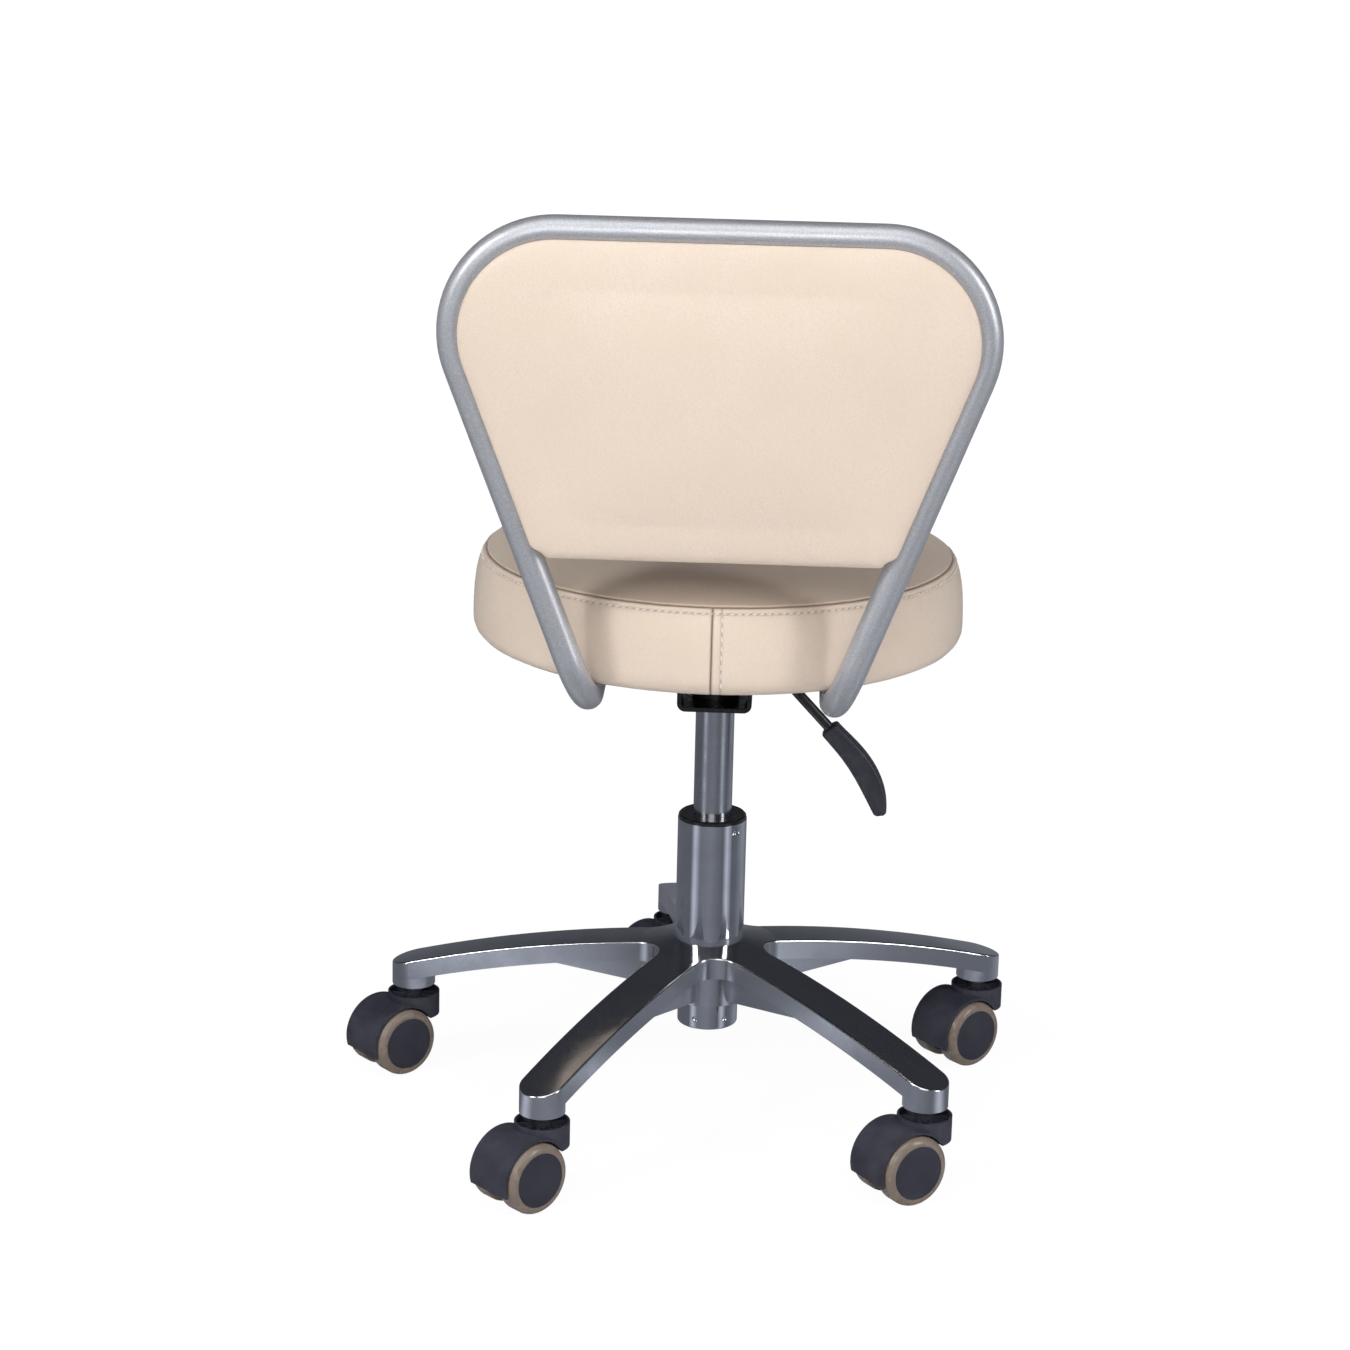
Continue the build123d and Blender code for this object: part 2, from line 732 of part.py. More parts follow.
with BuildPart() as seat_board:
    with BuildSketch(Plane.XY.offset(board_bottom)):
        Circle(board_radius)
        with Locations(*bolt_points):
            Circle(nut_radius, mode=Mode.SUBTRACT)
    extrude(amount=board_thickness)
    with BuildSketch(Plane.XY.offset(board_top - nut_flange)):
        with Locations(*bolt_points):
            Circle(nut_flange_radius)
    extrude(amount=nut_flange, mode=Mode.SUBTRACT)
save(seat_board.part, "seat_board")

with BuildPart() as board_t_nuts:
    with BuildSketch(Plane.XY.offset(board_bottom)):
        with Locations(*bolt_points):
            Circle(nut_radius)
    extrude(amount=board_thickness - nut_flange)
    with BuildSketch(Plane.XY.offset(board_top - nut_flange)):
        with Locations(*bolt_points):
            Circle(nut_flange_radius)
    extrude(amount=nut_flange)
    with BuildSketch(Plane.XY.offset(board_bottom)):
        with Locations(*bolt_points):
            Circle(bolt_radius)
    extrude(amount=board_thickness, mode=Mode.SUBTRACT)
save(board_t_nuts.part, "board_t_nuts")

with BuildPart() as seat_foam:
    revolve(seat_section(cover_thickness), axis=Axis.Z)
    with BuildSketch(Plane.XY.offset(board_bottom)):
        Circle(board_radius)
    extrude(amount=board_thickness, mode=Mode.SUBTRACT)
save(seat_foam.part, "seat_foam")

with BuildPart() as seat_cover:
    revolve(seat_section(0.0), axis=Axis.Z)
    revolve(seat_section(cover_thickness), axis=Axis.Z, mode=Mode.SUBTRACT)
    with BuildSketch(Plane.XY.offset(seat_underside)):
        Circle(hem_inner_radius)
    extrude(amount=cover_thickness, mode=Mode.SUBTRACT)
save(seat_cover.part, "seat_cover")

with BuildPart() as seat_dust_cover:
    with BuildSketch(Plane.XY.offset(seat_underside)):
        Circle(hem_inner_radius)
        with Locations(*bolt_points):
            Circle(bolt_radius, mode=Mode.SUBTRACT)
    extrude(amount=cover_thickness)
save(seat_dust_cover.part, "seat_dust_cover")

with BuildPart() as mechanism_bolts:
    with BuildSketch(Plane.XY.offset(plate_bottom - bolt_head_height)):
        with Locations(*plate_bolt_points()):
            RegularPolygon(bolt_head_radius, 6)
    extrude(amount=bolt_head_height)
    with BuildSketch(Plane.XY.offset(plate_bottom)):
        with Locations(*plate_bolt_points()):
            Circle(bolt_radius)
    extrude(amount=board_top - 2 - plate_bottom)
save(mechanism_bolts.part, "mechanism_bolts")


# ================================================================== back frame
lean = radians(recline)
side_top = Vector(frame_high_half, frame_low_y + (frame_high_z - foot_level) * tan(lean), frame_high_z)
side_low = Vector(frame_low_half, frame_low_y, foot_level)
foot_end = Vector(frame_low_half, foot_end_y, foot_level)


def mirrored(point):
    """The same point on the other side of the seat."""
    return Vector(-point.X, point.Y, point.Z)


def frame_tube(radius):
    """Solid rod along the back frame's centreline, from foot to foot."""
    with BuildPart() as rod:
        with BuildLine() as route:
            FilletPolyline(
                foot_end,
                side_low,
                side_top,
                mirrored(side_top),
                mirrored(side_low),
                mirrored(foot_end),
                radius=[foot_bend, frame_corner, frame_corner, foot_bend],
            )
        with BuildSketch(Plane(origin=foot_end, z_dir=side_low - foot_end)):
            Circle(radius)
        sweep(path=route.line)
    return rod.part


# plane of the backrest: x to the sitter's left, y up the frame, z towards the back
up_frame = Vector(0, sin(lean), cos(lean))
pad_origin = Vector(0, frame_low_y, foot_level)
pad_plane = Plane(origin=pad_origin, x_dir=(-1, 0, 0), z_dir=(0, cos(lean), -sin(lean)))


def along_frame(height):
    """Distance up the frame's plane at a height above the floor."""
    return (height - foot_level) / cos(lean)


def half_at(distance):
    """Half spread of the tube's centreline at a distance up the frame's plane."""
    share = distance / along_frame(frame_high_z)
    return frame_low_half + (frame_high_half - frame_low_half) * share


side_slope = atan2(frame_high_half - frame_low_half, along_frame(frame_high_z))


def tab_plane(height, side):
    """Plane of a tab: x towards the middle of the frame, origin on the tube's centreline."""
    distance = along_frame(height)
    origin = pad_plane.from_local_coords(Vector(side * half_at(distance), distance, 0))
    inwards = pad_plane.x_dir * (-side * cos(side_slope)) + up_frame * sin(side_slope)
    return Plane(origin=origin, x_dir=inwards, z_dir=pad_plane.z_dir)


def tabs(width, thickness, reach):
    """The four flat tabs inside the frame, or with larger sizes the slots they pass through."""
    with BuildPart() as group:
        for height in tab_heights:
            for side in (1, -1):
                with BuildSketch(tab_plane(height, side).offset(-thickness)):
                    with Locations((reach / 2, 0)):
                        Rectangle(reach, width)
                extrude(amount=thickness)
    return group.part


screw_at = tube_radius + tab_reach - screw_inset  # distance of a screw from the tube's centreline
with BuildPart() as back_frame:
    add(frame_tube(tube_radius))
    add(tabs(tab_width, tab_thickness, tube_radius + tab_reach))
    add(frame_tube(tube_radius - tube_wall), mode=Mode.SUBTRACT)
    with BuildSketch(Plane.XY.offset(foot_level - 2 * tube_radius)):
        with Locations(*foot_bolt_points()):
            Circle(bolt_radius)
    extrude(amount=4 * tube_radius, mode=Mode.SUBTRACT)
    for height in tab_heights:
        for side in (1, -1):
            with BuildSketch(tab_plane(height, side).offset(-2 * tab_thickness)):
                with Locations((screw_at, 0)):
                    Circle(screw_radius)
            extrude(amount=3 * tab_thickness, mode=Mode.SUBTRACT)
save(back_frame.part, "back_frame")

with BuildPart() as tube_end_plugs:
    for end in (foot_end, mirrored(foot_end)):
        with BuildSketch(Plane(origin=end, z_dir=(0, -1, 0))):
            Circle(tube_radius)
        extrude(amount=plug_cap)
        with BuildSketch(Plane(origin=end, z_dir=(0, 1, 0))):
            Circle(tube_radius - tube_wall)
        extrude(amount=plug_length)
save(tube_end_plugs.part, "tube_end_plugs")

with BuildPart() as back_frame_bolts:
    with BuildSketch(Plane.XY.offset(foot_level - tube_radius - bolt_head_height)):
        with Locations(*foot_bolt_points()):
            Circle(bolt_head_radius)
    extrude(amount=bolt_head_height)
    with BuildSketch(Plane.XY.offset(foot_level - tube_radius)):
        with Locations(*foot_bolt_points()):
            Circle(bolt_radius)
    extrude(amount=board_top - 2 - foot_level + tube_radius)
save(back_frame_bolts.part, "back_frame_bolts")


# ================================================================== back pad
def pad_outline(inset):
    """Outline of the pad in the frame's plane, inside the tube by a clearance and an inset."""
    low = along_frame(pad_bottom) + inset
    high = along_frame(frame_high_z) - tube_radius - pad_gap - inset
    shift = (tube_radius + pad_gap + inset) / cos(side_slope)
    with BuildSketch() as outline:
        with BuildLine():
            Polyline(
                (half_at(low) - shift, low),
                (half_at(high) - shift, high),
                (-half_at(high) + shift, high),
                (-half_at(low) + shift, low),
                (half_at(low) - shift, low),
            )
        make_face()
        fillet(outline.vertices().group_by(Axis.Y)[-1], frame_corner - tube_radius - pad_gap - inset)
        fillet(outline.vertices().group_by(Axis.Y)[0], max(pad_corner - inset, 2.0))
    return outline.sketch


def pad_block(inset, front, rear):
    """The pad's outline extruded from a plane in front of the frame's plane to one behind it."""
    with BuildPart() as block:
        with BuildSketch(pad_plane.offset(-front)):
            add(pad_outline(inset))
        extrude(amount=front + rear)
    return block.part


with BuildPart() as pad_screws:
    for height in tab_heights:
        for side in (1, -1):
            head = tab_plane(height, side).offset(-tab_thickness)
            with BuildSketch(head.offset(-screw_head_height)):
                with Locations((screw_at, 0)):
                    Circle(2 * screw_radius)
            extrude(amount=screw_head_height)
            with BuildSketch(head):
                with Locations((screw_at, 0)):
                    Circle(screw_radius)
            extrude(amount=screw_length)
save(pad_screws.part, "pad_screws")

with BuildPart() as back_board:
    add(pad_block(board_inset, 0.0, back_board_thickness))
    add(pad_screws.part, mode=Mode.SUBTRACT)
save(back_board.part, "back_board")

with BuildPart() as back_foam:
    add(pad_block(cover_thickness, pad_front - cover_thickness, pad_rear - cover_thickness))
    add(pad_block(board_inset, 0.0, back_board_thickness), mode=Mode.SUBTRACT)
    add(tabs(tab_width + 2 * air, tab_thickness, tube_radius + tab_reach + air), mode=Mode.SUBTRACT)
    add(pad_screws.part, mode=Mode.SUBTRACT)
save(back_foam.part, "back_foam")

with BuildPart() as back_cover:
    add(pad_block(0.0, pad_front, pad_rear))
    add(
        pad_block(cover_thickness, pad_front - cover_thickness, pad_rear - cover_thickness),
        mode=Mode.SUBTRACT,
    )
    add(tabs(tab_width + 2 * air, tab_thickness, tube_radius + tab_reach + air), mode=Mode.SUBTRACT)
save(back_cover.part, "back_cover")
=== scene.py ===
# %% [markdown]
# # A pedicure stool, dressed in Blender
# A round padded seat on a gas lift, a star base on five twin-wheel castors, and a padded backrest
# held in a bent tube. The hard parts come from the CAD model and stay exactly where they are. This
# lesson gives them their finishes, and makes the upholstery, the stitching and the lever's handle.

import math

import bpy
import numpy as np
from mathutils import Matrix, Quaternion, Vector


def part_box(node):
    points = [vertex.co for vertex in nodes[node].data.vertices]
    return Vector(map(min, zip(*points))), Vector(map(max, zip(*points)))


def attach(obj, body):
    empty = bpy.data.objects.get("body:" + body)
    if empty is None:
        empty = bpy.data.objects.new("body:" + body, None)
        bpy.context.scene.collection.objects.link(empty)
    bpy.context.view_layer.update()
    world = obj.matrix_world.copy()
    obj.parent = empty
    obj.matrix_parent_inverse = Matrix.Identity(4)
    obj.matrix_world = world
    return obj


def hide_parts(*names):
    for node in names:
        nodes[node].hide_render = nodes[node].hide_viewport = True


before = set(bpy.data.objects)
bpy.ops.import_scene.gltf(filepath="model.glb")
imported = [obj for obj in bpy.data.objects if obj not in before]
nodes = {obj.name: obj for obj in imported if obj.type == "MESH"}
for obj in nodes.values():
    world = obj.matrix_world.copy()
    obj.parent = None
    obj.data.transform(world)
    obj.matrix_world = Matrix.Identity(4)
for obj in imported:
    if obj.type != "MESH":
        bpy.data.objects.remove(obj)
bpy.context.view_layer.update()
mm = 0.001

# %% [markdown]
# ## From arrays to meshes
# Every new piece is a grid of points worked out as one numpy array: one direction of the grid runs
# round the piece and the other runs along it. A small helper turns such a grid into a mesh, so the
# rest of the lesson can think about shapes only. It also writes a UV map in metres, which lets a
# pattern follow the surface.

# %% A grid of points becomes a piece
scene = bpy.context.scene


def quads(rows, columns, closed):
    """Corner numbers of the faces between rows x columns points; closed joins the last row to the
    first. A face takes point (i, j), then (i, j+1), (i+1, j+1) and (i+1, j)."""
    i = np.arange(rows if closed else rows - 1)[:, None]
    j = np.arange(columns - 1)[None, :]
    after = (i + 1) % rows
    corners = [i * columns + j, i * columns + j + 1, after * columns + j + 1, after * columns + j]
    return np.stack(corners, -1).reshape(-1, 4).tolist()


def closed_tube(sides, rings):
    """Faces of a tube of sides x rings points, with one flat face over each of its two ends."""
    first = np.arange(sides) * rings
    return quads(sides, rings, True) + [(first[::-1] + rings - 1).tolist(), first.tolist()]


def repeated(faces, points, count):
    """The faces of one small mesh, again for each of count copies that have so many points."""
    return [[corner + points * k for corner in face] for k in range(count) for face in faces]


def with_poles(grid):
    """Points and faces of a grid that is closed round its rows, with a pole at each end of the
    columns: one point in the middle of the first ring and one in the middle of the last."""
    rows, columns = grid.shape[:2]
    ring = np.arange(rows) * columns
    following, pole = np.roll(ring, -1), np.full(rows, rows * columns)
    fans = [np.stack([pole, ring, following], -1)]
    fans.append(np.stack([pole + 1, following + columns - 1, ring + columns - 1], -1))
    points = np.vstack([grid.reshape(-1, grid.shape[-1]), grid[:, 0].mean(0), grid[:, -1].mean(0)])
    return points, quads(rows, columns, True) + np.vstack(fans).tolist()


def piece(name, points, faces, material, body, smooth=True, uv=None, seam_shade=None):
    """A mesh object from an array of points and a list of faces, riding on a body. A value from 0
    to 1 for every point is kept as an attribute, by which a material paints shade in seams."""
    mesh = bpy.data.meshes.new(name)
    mesh.from_pydata(np.asarray(points, float).reshape(-1, 3), [], faces)
    mesh.polygons.foreach_set("use_smooth", np.full(len(mesh.polygons), smooth))
    if uv is not None:
        corner = np.zeros(len(mesh.loops), np.int32)
        mesh.loops.foreach_get("vertex_index", corner)
        flat_places = uv.reshape(-1, 2)[corner].astype(np.float32)
        mesh.uv_layers.new(name="surface").data.foreach_set("uv", flat_places.ravel())
    if seam_shade is not None:
        stored = mesh.attributes.new("seam_shade", "FLOAT", "POINT")
        stored.data.foreach_set("value", seam_shade.astype(np.float32).ravel())
    mesh.materials.append(material)
    made = bpy.data.objects.new(name, mesh)
    scene.collection.objects.link(made)
    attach(made, body)
    print(name, len(mesh.vertices), "points,", len(mesh.polygons), "faces")
    return made


def bezier(a, b, c, d, count):
    """Points of a cubic curve from a to d with handles b and c, evenly spaced in its parameter."""
    t = np.linspace(0, 1, count)[:, None]
    a, b, c, d = (np.array(p, float) for p in (a, b, c, d))
    return (1 - t) ** 3 * a + 3 * (1 - t) ** 2 * t * b + 3 * (1 - t) * t**2 * c + t**3 * d


def lengths(line):
    """Distance along a line of points, from its first point to each of them."""
    steps = np.linalg.norm(np.diff(line, axis=0), axis=1)
    return np.concatenate([[0.0], np.cumsum(steps)])


def along(line, at):
    """The points of a line at given distances along it."""
    s = lengths(line)
    return np.stack([np.interp(at, s, line[:, k]) for k in range(line.shape[1])], -1)


# %% [markdown]
# ## Effects that several finishes share
# Real surfaces are never one flat value. A node group is a small machine of texture nodes with
# named inputs and outputs, built once and placed in every material that needs it. These groups
# put out only heights and masks; each material decides what to do with them.

# %% Helpers for node groups and materials
BY_NUMBER = {"a": 0, "b": 1, "c": 2}
FLOAT, VECTOR = "NodeSocketFloat", "NodeSocketVector"


def new_group(name, inputs, outputs):
    """An empty node group with float or vector inputs and float outputs."""
    tree = bpy.data.node_groups.new(name, "ShaderNodeTree")
    for label, kind, value in inputs:
        socket = tree.interface.new_socket(name=label, in_out="INPUT", socket_type=kind)
        if value is not None:
            socket.default_value = value
    for label in outputs:
        tree.interface.new_socket(name=label, in_out="OUTPUT", socket_type="NodeSocketFloat")
    return tree, tree.nodes.new("NodeGroupInput"), tree.nodes.new("NodeGroupOutput")


def node(tree, kind, settings=None, **sockets):
    """A node of a kind. Inputs are given by name, with _ for a space, or as a, b and c for the
    first three. Each takes a number, a colour or a socket to link."""
    made = tree.nodes.new("ShaderNode" + kind)
    for name, value in (settings or {}).items():
        setattr(made, name, value)
    for name, value in sockets.items():
        key = BY_NUMBER.get(name, name.replace("_", " "))
        if isinstance(value, bpy.types.NodeSocket):
            tree.links.new(value, made.inputs[key])
        else:
            made.inputs[key].default_value = value
    return made


def maths(tree, operation, a, b=0.0, c=0.0):
    """The result socket of one Math node."""
    return node(tree, "Math", {"operation": operation}, a=a, b=b, c=c).outputs[0]


def weighed(tree, first, share, second, other):
    """first * share + second * other."""
    return maths(tree, "MULTIPLY_ADD", first, share, maths(tree, "MULTIPLY", second, other))


def spread(tree, value, low, high, to_low=0.0, to_high=1.0):
    """A value carried from one range to another, held inside the second."""
    ends = {"From_Min": low, "From_Max": high, "To_Min": to_low, "To_Max": to_high}
    return node(tree, "MapRange", None, Value=value, **ends).outputs[0]


def noise(tree, where, scale, detail, rough=0.5):
    """The value of a noise texture."""
    inputs = {"Vector": where, "Scale": scale, "Detail": detail, "Roughness": rough}
    return node(tree, "TexNoise", None, **inputs).outputs[0]


# %% [markdown]
# Embossed vinyl has a pebble grain: rounded islands about a millimetre across with thin valleys
# between them. A Voronoi texture gives the islands, a little noise bends their borders, and a
# slower noise makes the grain deeper here and shallower there, as it is on a real hide or roll.

# %% Pebble grain
pebble, inside, outside = new_group(
    "pebble grain",
    [("Vector", VECTOR, None), ("Cells per metre", FLOAT, 700.0)],
    ["Height"],
)
where, per_metre = inside.outputs[0], inside.outputs[1]
bend = node(pebble, "TexNoise", None, Vector=where, Scale=420.0, Detail=2.0).outputs["Color"]
bend_size = (1.6 * mm,) * 3
bent = node(pebble, "VectorMath", {"operation": "MULTIPLY_ADD"}, a=bend, b=bend_size, c=where)
islands = node(
    pebble, "TexVoronoi", {"feature": "SMOOTH_F1"},
    Vector=bent.outputs[0], Scale=per_metre, Smoothness=0.55,
)
depth = spread(pebble, noise(pebble, where, 24.0, 3.0), 0.3, 0.7, 0.55, 1.0)
height = maths(pebble, "SUBTRACT", 1.0, islands.outputs["Distance"])
pebble.links.new(maths(pebble, "MULTIPLY", height, depth), outside.inputs["Height"])

# %% [markdown]
# Brushed and drawn metal has fine lines in one direction. Noise that is squeezed across the lines
# and stretched along them does that, so the group takes a Stretch vector: large numbers squeeze.
# Handling leaves smudges: soft patches that are a little rougher than the rest.
# Moulded plastic has a spark-eroded texture, which is simply fine, even noise.
# Metallic paint holds tiny flakes, each a cell of its own brightness.

# %% Brushed lines, smudges, moulded texture and paint flakes
brushed, inside, outside = new_group(
    "brushed lines", [("Vector", VECTOR, None), ("Stretch", VECTOR, (1.0, 1.0, 1.0))], ["Height"]
)
where, stretch = inside.outputs[0], inside.outputs[1]
squeezed = node(brushed, "VectorMath", {"operation": "MULTIPLY"}, a=where, b=stretch)
brushed.links.new(noise(brushed, squeezed.outputs[0], 1.0, 4.0, 0.6), outside.inputs["Height"])

smudge, inside, outside = new_group(
    "smudges", [("Vector", VECTOR, None), ("Scale", FLOAT, 30.0)], ["Mask"]
)
cloud = noise(smudge, inside.outputs[0], inside.outputs[1], 5.0, 0.62)
smudge.links.new(spread(smudge, cloud, 0.38, 0.68), outside.inputs["Mask"])

moulded, inside, outside = new_group(
    "moulded texture", [("Vector", VECTOR, None), ("Scale", FLOAT, 1500.0)], ["Height", "Specks"]
)
fine = noise(moulded, inside.outputs[0], inside.outputs[1], 3.0, 0.7)
moulded.links.new(fine, outside.inputs["Height"])
moulded.links.new(spread(moulded, fine, 0.56, 0.72), outside.inputs["Specks"])

flakes, inside, outside = new_group(
    "paint flakes", [("Vector", VECTOR, None), ("Scale", FLOAT, 1400.0)], ["Sparkle", "Height"]
)
cells = node(flakes, "TexVoronoi", None, Vector=inside.outputs[0], Scale=inside.outputs[1])
split = node(flakes, "SeparateColor", None, Color=cells.outputs["Color"])
orange_peel = noise(flakes, inside.outputs[0], 160.0, 2.0)
flakes.links.new(maths(flakes, "POWER", split.outputs[0], 3.0), outside.inputs["Sparkle"])
flakes.links.new(orange_peel, outside.inputs["Height"])

# %% [markdown]
# ## Starting a material
# Each finish below begins the same way: a Principled shader with its plain numbers set on its own
# sockets, and Object coordinates, which stay glued to the piece. Then come the nodes that vary it.


# %% A material to start from
def start(name, colour, rough, metal=0.0, **plain):
    """A material with a Principled shader. Returns it, its tree, shader and coordinates."""
    material = bpy.data.materials.new(name)
    material.use_nodes = True
    tree = material.node_tree
    shader = tree.nodes["Principled BSDF"]
    shader.inputs["Base Color"].default_value = (*colour, 1.0)
    shader.inputs["Roughness"].default_value = rough
    shader.inputs["Metallic"].default_value = metal
    for key, value in plain.items():
        shader.inputs[key.replace("_", " ")].default_value = value
    return material, tree, shader, node(tree, "TexCoord").outputs["Object"]


def use(tree, which, **sockets):
    """Places a node group in a material and links or sets its inputs."""
    return node(tree, "Group", {"node_tree": which}, **sockets).outputs


def blend(tree, mask, *ends):
    """A colour that goes from the first end to the second as a mask rises."""
    a, b = (end if isinstance(end, bpy.types.NodeSocket) else (*end, 1.0) for end in ends)
    return node(tree, "Mix", {"data_type": "RGBA"}, Factor=mask, A=a, B=b).outputs["Result"]


def colours(tree, shader, mask, first, second):
    """Base colour that goes from the first colour to the second as a mask rises."""
    tree.links.new(blend(tree, mask, first, second), shader.inputs["Base Color"])


def bump(tree, shader, height, distance, strength=1.0):
    """Relief of a given depth in metres on the shader's normal."""
    made = node(tree, "Bump", None, Height=height, Distance=distance, Strength=strength)
    tree.links.new(made.outputs["Normal"], shader.inputs["Normal"])


def link_rough(tree, shader, mask, low, high):
    """Roughness that goes from low to high as a mask rises."""
    tree.links.new(spread(tree, mask, 0.0, 1.0, low, high), shader.inputs["Roughness"])

# %% [markdown]
# ## Vinyl, thread and cloth
# The upholstery is cream embossed vinyl. Its colour hardly changes, a little warmer in the valleys
# and over slow patches, so most of what the eye reads comes from the grain and a soft gloss. Along
# the seams and stitch rows a painted shade darkens it, by a value each point of a cushion carries.

# %% Cream vinyl
# The third colour is painted shade: the brown that seam creases and stitch grooves darken towards.
CREAM, CREAM_DEEP = (0.83, 0.70, 0.585), (0.72, 0.575, 0.455)
SEAM_SHADE_BROWN = (0.16, 0.10, 0.065)
vinyl, tree, shader, place = start(
    "cream vinyl", CREAM, 0.42, Specular_IOR_Level=0.42, Sheen_Weight=0.06
)
grain = use(tree, pebble, Vector=place, Cells_per_metre=720.0)
stains = use(tree, smudge, Vector=place, Scale=11.0)
valley = spread(tree, grain["Height"], 0.25, 0.75, 0.35, 0.0)
warmer = maths(tree, "MULTIPLY_ADD", stains["Mask"], 0.10, valley)
plain = blend(tree, warmer, CREAM, CREAM_DEEP)
# Painted shade: along the seams and stitch rows the colour is pulled towards the dark brown.
seam_shade_share = node(tree, "Attribute", {"attribute_name": "seam_shade"}).outputs["Fac"]
colours(tree, shader, maths(tree, "MULTIPLY", seam_shade_share, 0.85), plain, SEAM_SHADE_BROWN)
link_rough(tree, shader, stains["Mask"], 0.38, 0.47)
bump(tree, shader, grain["Height"], 0.0002, 0.75)

# %% [markdown]
# Sewing thread is three twisted strands. Diagonal waves round each stitch give the twist.

# %% Sewing thread
thread, tree, shader, place = start("cream thread", (0.90, 0.85, 0.78), 0.6, Sheen_Weight=0.3)
along_it = node(tree, "TexCoord").outputs["UV"]
waves = node(tree, "TexWave", {"bands_direction": "DIAGONAL"}, Vector=along_it, Scale=260.0)
twist = waves.outputs["Fac"]
colours(tree, shader, twist, (0.78, 0.70, 0.61), (0.95, 0.91, 0.85))
bump(tree, shader, twist, 0.0001)

# %% [markdown]
# Under the seat a black non-woven cloth hides the board, and the hem is stapled over its edge. It
# is a mat of fibres pressed at small dots: a Voronoi for the dots, noise for the fibres.

# %% Dust cloth, foam and plywood
dust_cloth, tree, shader, place = start("dust cloth", (0.022, 0.022, 0.024), 0.9, Sheen_Weight=0.25)
dots = node(tree, "TexVoronoi", None, Vector=place, Scale=650.0)
fibres = use(tree, brushed, Vector=place, Stretch=(2200.0, 420.0, 900.0))
dented = maths(tree, "MULTIPLY", spread(tree, dots.outputs["Distance"], 0.1, 0.4), fibres["Height"])
colours(tree, shader, dented, (0.010, 0.010, 0.012), (0.040, 0.040, 0.044))
bump(tree, shader, dented, 0.0002)

foam, tree, shader, place = start("foam", (0.80, 0.74, 0.52), 0.95)
pores = node(tree, "TexVoronoi", None, Vector=place, Scale=900.0).outputs["Distance"]
colours(tree, shader, pores, (0.55, 0.48, 0.30), (0.85, 0.79, 0.58))
bump(tree, shader, pores, 0.0004)

plywood, tree, shader, place = start("plywood", (0.52, 0.36, 0.20), 0.65)
plies = node(tree, "TexWave", {"bands_direction": "Z"}, Vector=place, Scale=105.0, Distortion=0.6)
figure = use(tree, brushed, Vector=place, Stretch=(30.0, 700.0, 700.0))
mixed = weighed(tree, plies.outputs["Fac"], 0.5, figure["Height"], 0.5)
colours(tree, shader, mixed, (0.34, 0.21, 0.10), (0.66, 0.50, 0.31))
bump(tree, shader, mixed, 0.0003)

# %% [markdown]
# ## The metals
# The star base is cast aluminium. Its tops and flanks are polished, with faint lines left along
# each arm by the belt; the hub's hollow underside is never touched and stays grey and sandy. Which
# one a point gets depends on the way its surface faces, so the mask is the normal's height.

# %% Polished and raw cast aluminium
aluminium, tree, shader, place = start("polished aluminium", (0.74, 0.755, 0.78), 0.15, 1.0)
facing = node(tree, "SeparateXYZ", None, Vector=node(tree, "TexCoord").outputs["Normal"])
upward = facing.outputs["Z"]
raw = spread(tree, upward, -0.35, -0.75)
flank = spread(tree, maths(tree, "ABSOLUTE", upward), 0.75, 0.25)
belt = use(tree, brushed, Vector=place, Stretch=(60.0, 60.0, 2600.0))
haze = use(tree, smudge, Vector=place, Scale=26.0)
sand = use(tree, moulded, Vector=place, Scale=900.0)
satin = spread(tree, flank, 0.0, 1.0, 0.10, 0.21)
polished = maths(tree, "MULTIPLY_ADD", haze["Mask"], 0.07, satin)
sandy = spread(tree, raw, 0.0, 1.0, 0.0, 0.62)
tree.links.new(maths(tree, "MAXIMUM", polished, sandy), shader.inputs["Roughness"])
clean = blend(tree, haze["Mask"], (0.76, 0.775, 0.80), (0.66, 0.675, 0.70))
colours(tree, shader, raw, clean, (0.30, 0.30, 0.31))
relief = maths(tree, "MULTIPLY", sand["Height"], spread(tree, raw, 0.0, 1.0, 0.03, 1.0))
lined = maths(tree, "MULTIPLY", flank, 0.12)
bump(tree, shader, maths(tree, "MULTIPLY_ADD", belt["Height"], lined, relief), 0.0004, 0.5)

# %% [markdown]
# The column's tube is chrome plated: almost a mirror, with fine scratches from wiping that show
# only in its roughness. The gas cylinder inside it is ground and oiled steel, so it has the same
# grey but softer highlights, and faint lines round it from the grinding wheel.

# %% Chrome, ground steel, zinc and spring steel
chrome, tree, shader, place = start("chrome", (0.70, 0.715, 0.74), 0.06, 1.0)
wiped = use(tree, brushed, Vector=place, Stretch=(500.0, 500.0, 30.0))
haze = use(tree, smudge, Vector=place, Scale=40.0)
link_rough(tree, shader, maths(tree, "MULTIPLY", wiped["Height"], haze["Mask"]), 0.035, 0.2)
colours(tree, shader, haze["Mask"], (0.72, 0.735, 0.76), (0.63, 0.645, 0.67))
bump(tree, shader, wiped["Height"], 0.00002, 0.3)

ground, tree, shader, place = start("ground steel", (0.60, 0.61, 0.63), 0.22, 1.0)
rings = use(tree, brushed, Vector=place, Stretch=(40.0, 40.0, 3200.0))
oil = use(tree, smudge, Vector=place, Scale=55.0)
link_rough(tree, shader, weighed(tree, oil["Mask"], 0.5, rings["Height"], 0.5), 0.14, 0.36)
colours(tree, shader, oil["Mask"], (0.62, 0.63, 0.655), (0.50, 0.51, 0.53))
bump(tree, shader, rings["Height"], 0.00003, 0.6)

